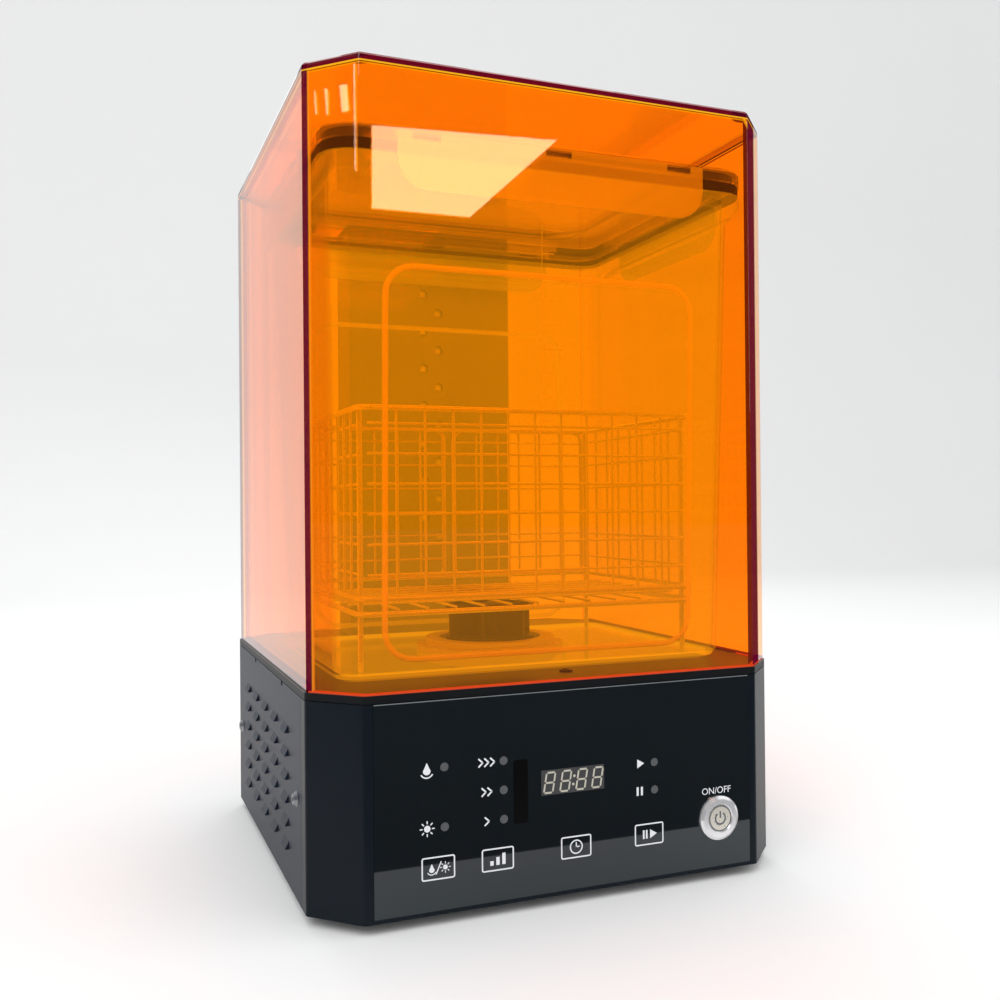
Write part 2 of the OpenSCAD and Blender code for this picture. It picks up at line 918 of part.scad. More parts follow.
// Disc with four magnet pockets, turned by the motor just under the deck
module drive_rotor() {
  color("#2b2d31")
    translate([0, tank_y, rotor_top - rotor_t])
      difference() {
        cylinder(h = rotor_t, r = rotor_d / 2);
        translate([0, 0, -cut])
          cylinder(h = rotor_t + 2 * cut, r = shaft_r);
        magnets(rotor_t - magnet_t, magnet_t + cut);
      }
}

module magnets(z, h) {
  for (a = [0 : 360 / magnet_count : 359])
    translate([magnet_ring * cos(a), magnet_ring * sin(a), z])
      cylinder(h = h, r = magnet_d / 2);
}

module rotor_magnets() {
  color("#cfd2d6")
    translate([0, tank_y, rotor_top - rotor_t])
      magnets(rotor_t - magnet_t, magnet_t);
}

// Upright channel behind the tank, open towards it
module lamp_housing() {
  x = lamp_w / 2;
  front = lamp_face + lamp_front_t;
  color("#1c1d20")
    difference() {
      block([-x, front, deck_z], [x, lamp_back, deck_z + lamp_h]);
      block([-x + lamp_t, front - cut, deck_z + 2], [x - lamp_t, lamp_back - lamp_t, deck_z + lamp_h - lamp_t]);
      for (sx = [-1, 1], y = [front + 8, lamp_back - 8])
        translate([sx * (x - 14), y, deck_z - cut])
          cylinder(h = 2 + 2 * cut, r = 2.2);
    }
}

// Height of lamp number i above the floor, and its place across the column
function led_z(i) = deck_z + led_top - i * led_step;
function led_x(i) = (i % 2 == 0 ? -1 : 1) * led_row_gap / 2;

// Front plate with a round hole for each lamp and two ribs that carry the lamp board
module lamp_front() {
  x = lamp_w / 2;
  rib_low = led_z(led_count - 1) - lamp_board_end;
  color("#242528")
    difference() {
      union() {
        block([-x, lamp_face, deck_z], [x, lamp_face + lamp_front_t, deck_z + lamp_h]);
        for (side = [-1, 1])
          block([side * (lamp_board_w / 2 - 2) - 1.5, lamp_face + lamp_front_t, rib_low],
                [side * (lamp_board_w / 2 - 2) + 1.5, lamp_face + lamp_front_t + lamp_rib, led_z(0) + lamp_board_end]);
      }
      for (i = [0 : led_count - 1])
        rod_y(led_x(i), led_z(i), led_hole_r, lamp_face - cut, lamp_face + lamp_front_t + cut);
    }
}

module lamp_board() {
  y = lamp_face + lamp_front_t + lamp_rib;
  color("#e8e8e4")
    block([-lamp_board_w / 2, y, led_z(led_count - 1) - lamp_board_end],
          [lamp_board_w / 2, y + board_t, led_z(0) + lamp_board_end]);
}

module lamp_leds() {
  y = lamp_face + lamp_front_t + lamp_rib;
  color("#f4efc8")
    for (i = [0 : led_count - 1]) {
      block([led_x(i) - led_size / 2, y - 1.4, led_z(i) - led_size / 2], [led_x(i) + led_size / 2, y, led_z(i) + led_size / 2]);
      rod_y(led_x(i), led_z(i), 1.9, y - 2.2, y - 1.4);
    }
}

module lamp_screws() {
  x = lamp_w / 2;
  front = lamp_face + lamp_front_t;
  color("#c3c6cb")
    for (sx = [-1, 1], y = [front + 8, lamp_back - 8])
      translate([sx * (x - 14), y, deck_z + 2])
        rotate([0, 90, 0])
          screw(2, r = 1.9, head_r = 3.4, head_h = 2);
}

// One-piece amber hood, open below, with a rounded top edge
module hood() {
  rings = 3;
  color("#ff8c1a", 0.55)
    difference() {
      hull() {
        translate([0, 0, deck_z])
          linear_extrude(0.02)
            footprint(hood_inset, 4);
        for (k = [0 : rings])
          let (a = 90 * k / rings)
            translate([0, 0, total_h - hood_edge_r + hood_edge_r * sin(a) - 0.02])
              linear_extrude(0.02)
                footprint(hood_inset + hood_edge_r * (1 - cos(a)), 4);
      }
      translate([0, 0, deck_z - cut])
        linear_extrude(ceiling_z - deck_z + cut)
          footprint(hood_inset + hood_wall, 4);
    }
}

// Rounded-rectangle bead, drawn on a wall seen from the front
module bead_outline(w, low, high, r, t) {
  translate([0, (low + high) / 2])
    difference() {
      polygon(rounded(rectangle(w, high - low), r, 6));
      polygon(rounded(rectangle(w - 2 * t, high - low - 2 * t), r - t, 6));
    }
}

// Bead on the front or back wall, leaning with the wall
module wall_bead(side) {
  lean = atan(draft_y);
  translate([0, tank_y + side * (tank_floor_d / 2 - 0.4), deck_z])
    rotate([90 - side * lean, 0, 0])
      translate([0, 0, side > 0 ? -bead_out - 0.4 : 0])
        linear_extrude(bead_out + 0.4)
          bead_outline(bead_frame_w, bead_low - deck_z, bead_high - deck_z, bead_r, bead_w);
}

// Clear wash tank with drafted walls, framed front and back, and a wide rim
module tank() {
  under_rim = rim_top - rim_t - rim_skirt;
  color("#dfe6ea", 0.5)
    difference() {
      union() {
        hull() {
          slice(deck_z, tank_floor_w - 2 * tank_edge_r, tank_floor_d - 2 * tank_edge_r, tank_corner_r - tank_edge_r / 2);
          slice(deck_z + tank_edge_r * 0.3, tank_floor_w - 0.6 * tank_edge_r, tank_floor_d - 0.6 * tank_edge_r, tank_corner_r);
          slice(deck_z + tank_edge_r, tank_w(tank_edge_r), tank_d(tank_edge_r), tank_corner_r);
          slice(rim_top - 0.02, tank_w(tank_h), tank_d(tank_h), tank_corner_r);
        }
        hull() {
          slice(under_rim, tank_w(tank_h - rim_t - rim_skirt), tank_d(tank_h - rim_t - rim_skirt), tank_corner_r);
          slice(rim_top - rim_t, rim_w, rim_d, rim_r);
        }
        translate([0, 0, rim_top - rim_t])
          linear_extrude(rim_t)
            tank_outline(rim_w, rim_d, rim_r);
        for (side = [-1, 1])
          wall_bead(side);
      }
      hull() {
        slice(floor_top, tank_floor_w - 2 * tank_wall - tank_edge_r, tank_floor_d - 2 * tank_wall - tank_edge_r, tank_corner_r - tank_wall);
        slice(floor_top + tank_edge_r, tank_w(tank_edge_r + tank_floor_t) - 2 * tank_wall, tank_d(tank_edge_r + tank_floor_t) - 2 * tank_wall, tank_corner_r - tank_wall);
        slice(rim_top + cut, tank_w(tank_h) - 2 * tank_wall, tank_d(tank_h) - 2 * tank_wall, tank_corner_r - tank_wall);
      }
      translate([0, tank_y, floor_top - 2])
        cylinder(h = 4, r = spindle_r);
    }
}

// Stepped ring on the tank's floor, round the foot of the impeller
module impeller_seat() {
  color("#dfe6ea", 0.7)
    translate([0, tank_y, floor_top])
      rotate_extrude()
        polygon([[seat_in, 0], [seat_out, 0], [seat_out, seat_step], [seat_out - seat_ledge, seat_step],
                 [seat_out - seat_ledge, seat_h], [seat_in, seat_h]]);
}

// Steel pin in the tank floor that the impeller turns on
module spindle() {
  color("#d2d4d8")
    translate([0, tank_y, floor_top - 2])
      cylinder(h = impeller_h + 4.5, r = spindle_r);
}

// Vaned impeller: a disc that holds the magnets, a hub, upright vanes and a top ring
module impeller() {
  r = impeller_d / 2;
  ring = 3;
  color("#26201a")
    translate([0, tank_y, impeller_z])
      difference() {
        union() {
          cylinder(h = impeller_base, r = r);
          cylinder(h = impeller_h, r = hub_r);
          for (a = [0 : 360 / vane_count : 359])
            rotate([90, 0, a])
              translate([0, 0, -1])
                linear_extrude(2)
                  polygon([[hub_r - 2, impeller_base - 1], [r - 1, impeller_base - 1],
                           [r - 1, impeller_h], [hub_r - 2, impeller_h]]);
          translate([0, 0, impeller_h - ring])
            difference() {
              cylinder(h = ring, r = r);
              translate([0, 0, -cut])
                cylinder(h = ring + 2 * cut, r = r - ring);
            }
        }
        translate([0, 0, -cut])
          cylinder(h = impeller_h + 2 * cut, r = spindle_r + running);
        impeller_magnet_places()
          cylinder(h = magnet_t, r = magnet_d / 2);
      }
}

// Places its child in every magnet pocket of the impeller
module impeller_magnet_places() {
  for (a = [0 : 360 / magnet_count : 359])
    rotate([0, 0, a])
      translate([magnet_ring, 0, 1])
        children();
}

module impeller_magnets() {
  color("#cfd2d6")
    translate([0, tank_y, impeller_z])
      impeller_magnet_places()
        cylinder(h = magnet_t, r = magnet_d / 2);
}

// Half lengths of the hinge row's knuckles, from the middle outwards
function knuckle_places(len) = [-len / 2 + knuckle_len, 0, len / 2 - knuckle_len];

// Hinge knuckles of the lid for one latch, drawn for the front side at y = 0
module lid_knuckles(len) {
  for (x = knuckle_places(len))
    difference() {
      union() {
        block([x - knuckle_len / 2 + knuckle_gap, -hinge_in, hinge_z - hinge_r],
              [x + knuckle_len / 2 - knuckle_gap, 1.5, hinge_z + hinge_r]);
        rod_x(-hinge_in, hinge_z, hinge_r, x - knuckle_len / 2 + knuckle_gap, x + knuckle_len / 2 - knuckle_gap);
      }
      rod_x(-hinge_in, hinge_z, pin_r, x - len, x + len);
    }
}

// Places one latch's parts on a side of the rim: the child is drawn for the front side
module on_side(side) {
  turn = side == "front" ? 0 : side == "right" ? 90 : side == "rear" ? 180 : 270;
  reach = side == "front" || side == "rear" ? rim_d / 2 : rim_w / 2;
  translate([0, tank_y, 0])
    rotate([0, 0, turn])
      translate([0, -reach, 0])
        children();
}

function latch_len(side) = side == "front" || side == "rear" ? long_latch : short_latch;
SIDES = ["front", "right", "rear", "left"];

// Clear lid with a raised border, a plug inside the tank's mouth and hinge knuckles
module lid() {
  color("#dfe6ea", 0.5)
    difference() {
      union() {
        hull() {
          slice(lid_low, rim_w, rim_d, rim_r);
          slice(lid_top - lid_edge_r, rim_w, rim_d, rim_r);
          slice(lid_top - 0.4 * lid_edge_r, rim_w - 0.6 * lid_edge_r, rim_d - 0.6 * lid_edge_r, rim_r);
          slice(lid_top - 0.02, rim_w - 2 * lid_edge_r, rim_d - 2 * lid_edge_r, rim_r - lid_edge_r / 2);
        }
        for (side = SIDES)
          on_side(side)
            lid_knuckles(latch_len(side));
        tank_ring(rim_top - plug_drop, lid_low + 1,
                  tank_mouth_w - 2 * tank_wall - 2 * plug_gap, tank_mouth_d - 2 * tank_wall - 2 * plug_gap,
                  tank_corner_r - tank_wall, plug_t);
      }
      translate([0, 0, lid_low - cut])
        linear_extrude(lid_h - lid_wall + cut)
          difference() {
            tank_outline(rim_w - 2 * lid_wall - 2, rim_d - 2 * lid_wall - 2, rim_r - lid_wall);
            tank_outline(tank_mouth_w - 2 * tank_wall - 2 * plug_gap, tank_mouth_d - 2 * tank_wall - 2 * plug_gap, tank_corner_r - tank_wall);
          }
      translate([0, 0, lid_low - cut])
        linear_extrude(lid_h - lid_wall + cut)
          tank_outline(tank_mouth_w - 2 * tank_wall - 2 * plug_gap - 2 * plug_t,
                       tank_mouth_d - 2 * tank_wall - 2 * plug_gap - 2 * plug_t, tank_corner_r - tank_wall - 1);
      translate([0, 0, lid_top - 1])
        linear_extrude(1 + cut)
          tank_outline(rim_w - 2 * border_side, rim_d - 2 * border_front, 16);
      for (side = SIDES)
        on_side(side)
          rod_x(-hinge_in, hinge_z, pin_r, -latch_len(side) / 2, latch_len(side) / 2);
    }
}

// Black seal between the rim and the lid
module lid_gasket() {
  color("#101010")
    difference() {
      tank_ring(rim_top + 0.2, lid_low, rim_w - 1.6, rim_d - 1.6, rim_r - 0.8, 1.5);
    }
}

module latch_pins() {
  color("#c9ccd1")
    for (side = SIDES)
      on_side(side)
        rod_x(-hinge_in, hinge_z, pin_r, -latch_len(side) / 2 + 2, latch_len(side) / 2 - 2);
}

// Outline of a latch plate seen from outside, hanging from the hinge
module latch_outline(len) {
  low = hinge_z - latch_drop;
  high = hinge_z + hinge_r;
  steps = 6;
  polygon(concat(
    [[-len / 2, high], [-len / 2, low + latch_r]],
    [for (k = [1 : steps]) let (a = 180 + 90 * k / steps) [-len / 2 + latch_r + latch_r * cos(a), low + latch_r + latch_r * sin(a)]],
    [for (k = [0 : steps]) let (a = 270 + 90 * k / steps) [len / 2 - latch_r + latch_r * cos(a), low + latch_r + latch_r * sin(a)]],
    [[len / 2, high]]));
}

// One flap latch drawn for the front side: plate, hinge barrel and snap rib
module latch(len) {
  difference() {
    union() {
      translate([0, -latch_out + latch_t, 0])
        rotate([90, 0, 0])
          linear_extrude(latch_t)
            latch_outline(len);
      rod_x(-hinge_in, hinge_z, hinge_r, -len / 2, len / 2);
      block([-len / 2 + latch_r, -latch_out + latch_t - 0.5, snap_z - snap_t],
            [len / 2 - latch_r, -snap_gap, snap_z]);
    }
    rod_x(-hinge_in, hinge_z, pin_r + running, -len, len);
    for (x = knuckle_places(len))
      block([x - knuckle_len / 2, -latch_out - cut, hinge_z - hinge_r - 0.4],
            [x + knuckle_len / 2, cut, hinge_z + hinge_r + cut]);
  }
}

module front_latch() {
  color("#dfe6ea", 0.5)
    on_side("front")
      latch(long_latch);
}

module rear_latch() {
  color("#dfe6ea", 0.5)
    on_side("rear")
      latch(long_latch);
}

module left_latch() {
  color("#dfe6ea", 0.5)
    on_side("left")
      latch(short_latch);
}

module right_latch() {
  color("#dfe6ea", 0.5)
    on_side("right")
      latch(short_latch);
}

// Closed loop of round wire along a rounded rectangle in the XY plane
module wire_loop(w, d, r, wire) {
  for (s = [-1, 1]) {
    translate([-w / 2 + r, s * d / 2, 0])
      rotate([0, 90, 0])
        cylinder(h = w - 2 * r, r = wire / 2, $fn = 16);
    translate([s * w / 2, -d / 2 + r, 0])
      rotate([-90, 0, 0])
        cylinder(h = d - 2 * r, r = wire / 2, $fn = 16);
  }
  for (k = [0 : 3])
    translate([(k == 0 || k == 3 ? 1 : -1) * (w / 2 - r), (k < 2 ? 1 : -1) * (d / 2 - r), 0])
      rotate([0, 0, 90 * k])
        rotate_extrude(angle = 90, $fn = 32)
          translate([r, 0])
            circle(d = wire, $fn = 16);
}

// Distances of the mesh wires from the middle of a side of the given length
function mesh_places(len) =
  let (n = floor(len / mesh_pitch / 2))
  [for (k = [-n : n]) k * mesh_pitch];

// Straight wire along X, Y or Z from a point
module wire_x(p, len, wire) {
  translate(p)
    rotate([0, 90, 0])
      cylinder(h = len, d = wire, $fn = 8);
}

module wire_y(p, len, wire) {
  translate(p)
    rotate([-90, 0, 0])
      cylinder(h = len, d = wire, $fn = 8);
}

module wire_z(p, len, wire) {
  translate(p)
    cylinder(h = len, d = wire, $fn = 8);
}

// Upper rim and double lower rim of the basket
module basket_rims() {
  color("#c7cacf")
    for (z = [basket_low, basket_second, basket_high])
      translate([0, basket_y, z])
        wire_loop(rim_wire_w, rim_wire_d, basket_r, frame_wire);
}

// Four legs inside the rims, from the tank's floor to the upper rim
module basket_legs() {
  color("#c7cacf")
    for (x = [-leg_x, leg_x], y = [-leg_y, leg_y])
      translate([x, basket_y + y, floor_top + 0.2])
        cylinder(h = basket_high - floor_top - 0.2, d = frame_wire, $fn = 16);
}

// Wires of a front or rear wall at y, with the level wires on the inner side
module mesh_wall_x(from, to, y, inward) {
  for (k = [0 : mesh_rows - 1])
    wire_x([from, y + inward * weld, mesh_top - k * mesh_pitch], to - from, mesh_wire);
  for (x = mesh_places(to - from - mesh_pitch))
    wire_z([(from + to) / 2 + x, y, basket_second], basket_high - basket_second, mesh_wire);
}

module basket_front() {
  reach = rim_wire_w / 2 - basket_r + 3;
  color("#c7cacf")
    mesh_wall_x(-reach, reach, basket_y - mesh_d / 2, 1);
}

// Rear wall: two framed mesh panels side by side behind the rims
module basket_rear() {
  w = rim_wire_w / 2 - panel_split;
  h = basket_high - basket_second;
  y = basket_y + rim_wire_d / 2 + frame_wire;
  color("#c7cacf")
    for (s = [-1, 1]) {
      translate([s * (panel_split + w / 2), y, basket_second + h / 2])
        rotate([90, 0, 0])
          wire_loop(w, h, panel_r, frame_wire);
      mesh_wall_x(s * (panel_split + w / 2) - w / 2, s * (panel_split + w / 2) + w / 2, y, 0);
    }
}

// Mesh of the left wall between two legs; the right one mirrors it
module mesh_wall_y() {
  reach = leg_y - frame_wire / 2;
  for (k = [0 : mesh_rows - 1])
    wire_y([-mesh_w / 2 + weld, basket_y - reach, mesh_top - k * mesh_pitch], 2 * reach, mesh_wire);
  for (y = mesh_places(2 * reach - mesh_pitch))
    wire_z([-mesh_w / 2, basket_y + y, basket_second], basket_high - basket_second, mesh_wire);
}

module basket_left() {
  color("#c7cacf")
    mesh_wall_y();
}

module basket_right() {
  color("#c7cacf")
    mirror([1, 0, 0])
      mesh_wall_y();
}

// Flat mesh floor resting on the lowest rim
module basket_floor() {
  z = basket_low + (frame_wire + mesh_wire) / 2;
  color("#c7cacf")
    translate([0, basket_y, 0]) {
      for (x = mesh_places(2 * leg_x - mesh_pitch))
        wire_y([x, -rim_wire_d / 2, z], rim_wire_d, mesh_wire);
      for (y = mesh_places(2 * leg_y - mesh_pitch))
        wire_x([-rim_wire_w / 2, y, z + weld], rim_wire_w, mesh_wire);
    }
}

base_tray();
rubber_feet();
deck_posts();
front_shell();
glossy_panel();
left_side_cover();
right_side_cover();
rear_cover();
deck_plate();
hood_sensor();
side_screws();
rear_screws();
control_board();
board_screws();
display_module();
display_lens();
indicator_lenses();
touch_contacts();
button_barrel();
button_nut();
button_cap();
power_board();
power_board_parts();
power_socket();
motor_plate();
motor_screws();
drive_motor();
motor_shaft();
drive_rotor();
rotor_magnets();
lamp_housing();
lamp_front();
lamp_board();
lamp_leds();
lamp_screws();
hood();
tank();
impeller_seat();
spindle();
impeller();
impeller_magnets();
lid();
lid_gasket();
latch_pins();
front_latch();
rear_latch();
left_latch();
right_latch();
basket_rims();
basket_legs();
basket_front();
basket_rear();
basket_left();
basket_right();
basket_floor();
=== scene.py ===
"""Wash-and-cure light unit: looks, stage and camera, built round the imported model."""

import math

import bmesh
import bpy
from bpy.props import FloatProperty, FloatVectorProperty, PointerProperty
from bpy.types import Operator, Panel, PropertyGroup
from mathutils import Matrix, Vector


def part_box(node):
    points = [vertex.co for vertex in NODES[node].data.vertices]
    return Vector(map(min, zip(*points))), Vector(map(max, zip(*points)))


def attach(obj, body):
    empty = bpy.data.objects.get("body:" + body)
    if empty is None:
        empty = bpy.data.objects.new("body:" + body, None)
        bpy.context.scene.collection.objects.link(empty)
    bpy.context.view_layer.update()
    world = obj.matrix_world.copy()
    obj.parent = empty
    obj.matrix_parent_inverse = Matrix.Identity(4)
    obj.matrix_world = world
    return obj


bl_info = {
    "name": "Wash-and-cure light unit",
    "version": (1, 0, 0),
    "blender": (4, 5, 0),
    "location": "View3D > Sidebar > Light unit",
    "description": "Builds the looks of a dental lab light curing unit round its frame",
    "category": "Object",
}

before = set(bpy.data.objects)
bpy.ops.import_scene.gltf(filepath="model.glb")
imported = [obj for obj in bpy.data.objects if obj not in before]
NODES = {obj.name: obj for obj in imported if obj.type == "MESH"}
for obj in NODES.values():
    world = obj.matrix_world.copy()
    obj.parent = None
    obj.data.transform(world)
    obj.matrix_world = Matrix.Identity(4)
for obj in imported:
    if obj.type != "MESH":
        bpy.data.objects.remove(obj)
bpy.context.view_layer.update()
MM = 0.001

PANEL_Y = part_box("glossy_panel")[0].y
DECK_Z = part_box("deck_plate")[1].z
TANK_Y = (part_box("tank")[0].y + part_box("tank")[1].y) / 2

# How far the tank's front and rear walls lean out over the height that they rise
TANK_LEAN = 9.0 / 283.5
# What the cut corners of the hood take off each pane
HOOD_CUT = 24.4 * MM


class Value:
    """A number socket that takes part in Python sums."""

    def __init__(self, finish, socket):
        self.finish, self.socket = finish, socket

    def _maths(self, operation, *others):
        return self.finish.node(
            "ShaderNodeMath", {"operation": operation}, {i: v for i, v in enumerate((self,) + others)}
        )[0]

    def __add__(self, other):
        return self._maths("ADD", other)

    def __mul__(self, other):
        return self._maths("MULTIPLY", other)

    def __sub__(self, other):
        return self._maths("SUBTRACT", other)

    def __truediv__(self, other):
        return self._maths("DIVIDE", other)

    def __pow__(self, other):
        return self._maths("POWER", other)

    def __rsub__(self, other):
        return (self * -1.0) + other

    def __gt__(self, other):
        return self._maths("GREATER_THAN", other)

    def __lt__(self, other):
        return self._maths("LESS_THAN", other)

    def at_most(self, other):
        return self._maths("MINIMUM", other)

    def at_least(self, other):
        return self._maths("MAXIMUM", other)

    def size(self):
        return self._maths("ABSOLUTE")

    def within(self, low, high):
        """1 between two numbers and 0 elsewhere."""
        return (self > low) * (self < high)

    def clamped(self):
        """Held between 0 and 1."""
        return self.at_least(0.0).at_most(1.0)

    def fades(self, width, soft):
        """1 up to a width, falling to 0 over a soft edge beyond it."""
        return (1.0 - (self - width) / soft).clamped()

    def rises(self, start, gain):
        """0 up to a start, rising to 1 from there."""
        return ((self - start) * gain).clamped()

    __radd__ = __add__
    __rmul__ = __mul__


class Finish:
    """A material under construction."""

    def __init__(self, name):
        self.material = bpy.data.materials.new(name)
        self.material.use_nodes = True
        self.tree = self.material.node_tree
        self.tree.nodes.clear()
        self.output = self.tree.nodes.new("ShaderNodeOutputMaterial")

    def plug(self, socket, value):
        if isinstance(value, Value):
            self.tree.links.new(value.socket, socket)
        elif isinstance(value, bpy.types.NodeSocket):
            self.tree.links.new(value, socket)
        elif hasattr(socket, "default_value"):
            if isinstance(value, (tuple, list)) and len(value) == 3 and socket.type == "RGBA":
                value = (*value, 1.0)
            socket.default_value = value

    def node(self, kind, settings=None, inputs=None):
        """Adds a node with its settings first and then its sockets, and returns its outputs."""
        made = self.tree.nodes.new(kind)
        for name, value in (settings or {}).items():
            if name == "stops":
                ramp = made.color_ramp
                while len(ramp.elements) < len(value):
                    ramp.elements.new(0.5)
                for element, (place, colour) in zip(ramp.elements, value):
                    element.position = place
                    element.color = (*colour, 1.0) if len(colour) == 3 else colour
            else:
                setattr(made, name, value)
        for name, value in (inputs or {}).items():
            self.plug(made.inputs[name], value)
        return [Value(self, s) for s in made.outputs]

    def place(self):
        """Object coordinates, in metres."""
        return self.node("ShaderNodeTexCoord")[3]

    def axis(self, name):
        return self.node("ShaderNodeSeparateXYZ", None, {0: self.place()})["xyz".index(name)]

    def noise(self, scale, detail, roughness=0.5, stretch=None):
        where = self.place()
        if stretch:
            where = self.node("ShaderNodeMapping", None, {"Vector": where, "Scale": stretch})[0]
        inputs = {"Vector": where, "Scale": scale, "Detail": detail, "Roughness": roughness}
        return self.node("ShaderNodeTexNoise", None, inputs)[0]

    def mix(self, factor, first, second):
        """Colour between first and second."""
        made = self.tree.nodes.new("ShaderNodeMix")
        made.data_type = "RGBA"
        # Sockets 6, 7 and 2 are the ones for colours
        self.plug(made.inputs[0], factor)
        self.plug(made.inputs[6], first)
        self.plug(made.inputs[7], second)
        return Value(self, made.outputs[2])

    def bump(self, height, distance, strength):
        inputs = {"Height": height, "Distance": distance, "Strength": strength}
        return self.node("ShaderNodeBump", None, inputs)[0]

    def shader(self, kind, **inputs):
        """A shader node, its sockets named in small letters with underscores."""
        made = self.tree.nodes.new(kind)
        for name, value in inputs.items():
            self.plug(made.inputs[name.replace("_", " ").title().replace("Ior", "IOR")], value)
        return made.outputs[0]

    def principled(self, **inputs):
        return self.shader("ShaderNodeBsdfPrincipled", **inputs)

    def diffuse(self, colour):
        return self.shader("ShaderNodeBsdfDiffuse", color=colour)

    def transparent(self, colour):
        return self.shader("ShaderNodeBsdfTransparent", color=colour)

    def emission(self, colour, strength):
        return self.shader("ShaderNodeEmission", color=colour, strength=strength)

    def blend(self, factor, first, second):
        made = self.tree.nodes.new("ShaderNodeMixShader")
        self.plug(made.inputs[0], factor)
        self.plug(made.inputs[1], first)
        self.plug(made.inputs[2], second)
        return made.outputs[0]

    def done(self, surface):
        self.tree.links.new(surface, self.output.inputs[0])
        return self.material


def toned(colour, by):
    """A colour made darker or lighter by a factor."""
    return [min(c * by, 1.0) for c in colour]


def wear(node, material):
    """Puts a material on a CAD node."""
    data = NODES[node].data
    data.materials.clear()
    data.materials.append(material)


def powder_coat(name, colour, grain, roughness=0.42, shine=0.5):
    """Painted sheet metal with a fine orange-peel grain."""
    f = Finish(name)
    fine = f.noise(1 / (grain * MM), 2.0)
    broad = f.noise(9.0, 2.0)
    return f.done(
        f.principled(
            base_color=f.mix(broad, toned(colour, 0.85), toned(colour, 1.18)),
            roughness=(fine - 0.5) * 0.18 + roughness,
            specular_ior_level=shine,
            normal=f.bump(fine, 0.06 * MM, 0.5),
        )
    )


def deck_coat(name):
    """Smooth black paint on top, and a duller one on the edge that is turned down, whose darker colour is
    painted shade.
    """
    f = Finish(name)
    grain = f.noise(2000.0, 2.0)
    bump = f.bump(grain, 0.05 * MM, 0.4)
    top = f.principled(
        base_color=f.mix(grain, (0.012, 0.011, 0.012), (0.016, 0.014, 0.015)),
        roughness=grain * 0.1 + 0.25,
        normal=bump,
    )
    # The darker colour of the turned-down edge is painted shade; its dullness is the finish
    edge = f.principled(
        base_color=f.mix(grain, (0.006, 0.007, 0.008), (0.009, 0.010, 0.012)),
        roughness=0.45,
        specular_ior_level=0.1,
        normal=bump,
    )
    return f.done(f.blend(f.axis("z") < DECK_Z - 0.2 * MM, top, edge))


def gloss_panel(name):
    """Deep black printed acrylic."""
    f = Finish(name)
    smear = f.noise(14.0, 4.0, 0.6, (1.0, 1.0, 2.2))
    return f.done(
        f.principled(
            base_color=f.mix(smear, (0.0012, 0.0022, 0.0034), (0.0028, 0.0042, 0.0058)),
            roughness=smear * 0.03 + 0.02,
            specular_ior_level=0.8,
            specular_tint=(0.84, 0.96, 1.0),
            normal=f.bump(f.noise(20.0, 1.0), 0.02 * MM, 0.25),
        )
    )


def smooth_plastic(name, colour, roughness=0.38):
    """Moulded plastic, rubber or lacquered board with a faint grain."""
    f = Finish(name)
    cloud = f.noise(60.0, 3.0)
    grain = f.noise(2600.0, 2.0)
    return f.done(
        f.principled(
            base_color=f.mix(cloud, toned(colour, 0.88), toned(colour, 1.12)),
            roughness=(grain - 0.5) * 0.15 + roughness,
            normal=f.bump(grain, 0.03 * MM, 0.4),
        )
    )


def metal(name, colour, roughness=0.25, shine=1.0):
    """Bare metal, shine being how metallic it looks."""
    f = Finish(name)
    grain = f.noise(900.0, 3.0, 0.6)
    cloud = f.noise(35.0, 2.0)
    return f.done(
        f.principled(
            base_color=f.mix(cloud, toned(colour, 0.9), colour),
            metallic=shine,
            roughness=(grain - 0.5) * 0.2 + roughness,
            normal=f.bump(grain, 0.01 * MM, 0.25),
        )
    )


def see_through(name, tint, edge_tint, haze=0.0, haze_colour=(1, 1, 1), roughness=0.015, shine=0.04,
                bands=None, painted_glow=0.0):
    """Thin clear or dyed plastic: lets light through in its tint, darker where it is seen
    edge on, and mirrors more at a slant. haze adds a little milky body, the last argument a
    painted glow that stands for the light such plastic carries inside, shine is what it mirrors
    head on, and bands lays shaders of painted light and shade over the clear one and says where
    they dull the mirror."""
    f = Finish(name)
    slant = f.node("ShaderNodeLayerWeight", None, {"Blend": 0.5})[1]
    clear = f.blend(slant ** 3.0, f.transparent(tint), f.transparent(edge_tint))
    if haze:
        clear = f.blend(haze, clear, f.diffuse(haze_colour))
    # A painted glow in the haze colour
    if painted_glow:
        share = 0.05
        clear = f.blend(share, clear, f.emission(haze_colour, painted_glow))
    mirrored = slant ** 5.0 * (1.0 - shine) + shine
    if bands:
        clear, dulled = bands(f, clear, slant)
        mirrored = mirrored * (1.0 - dulled)
    mirror = f.shader("ShaderNodeBsdfGlossy", color=(1, 1, 1), roughness=roughness)
    return f.done(f.blend(mirrored, clear, mirror))


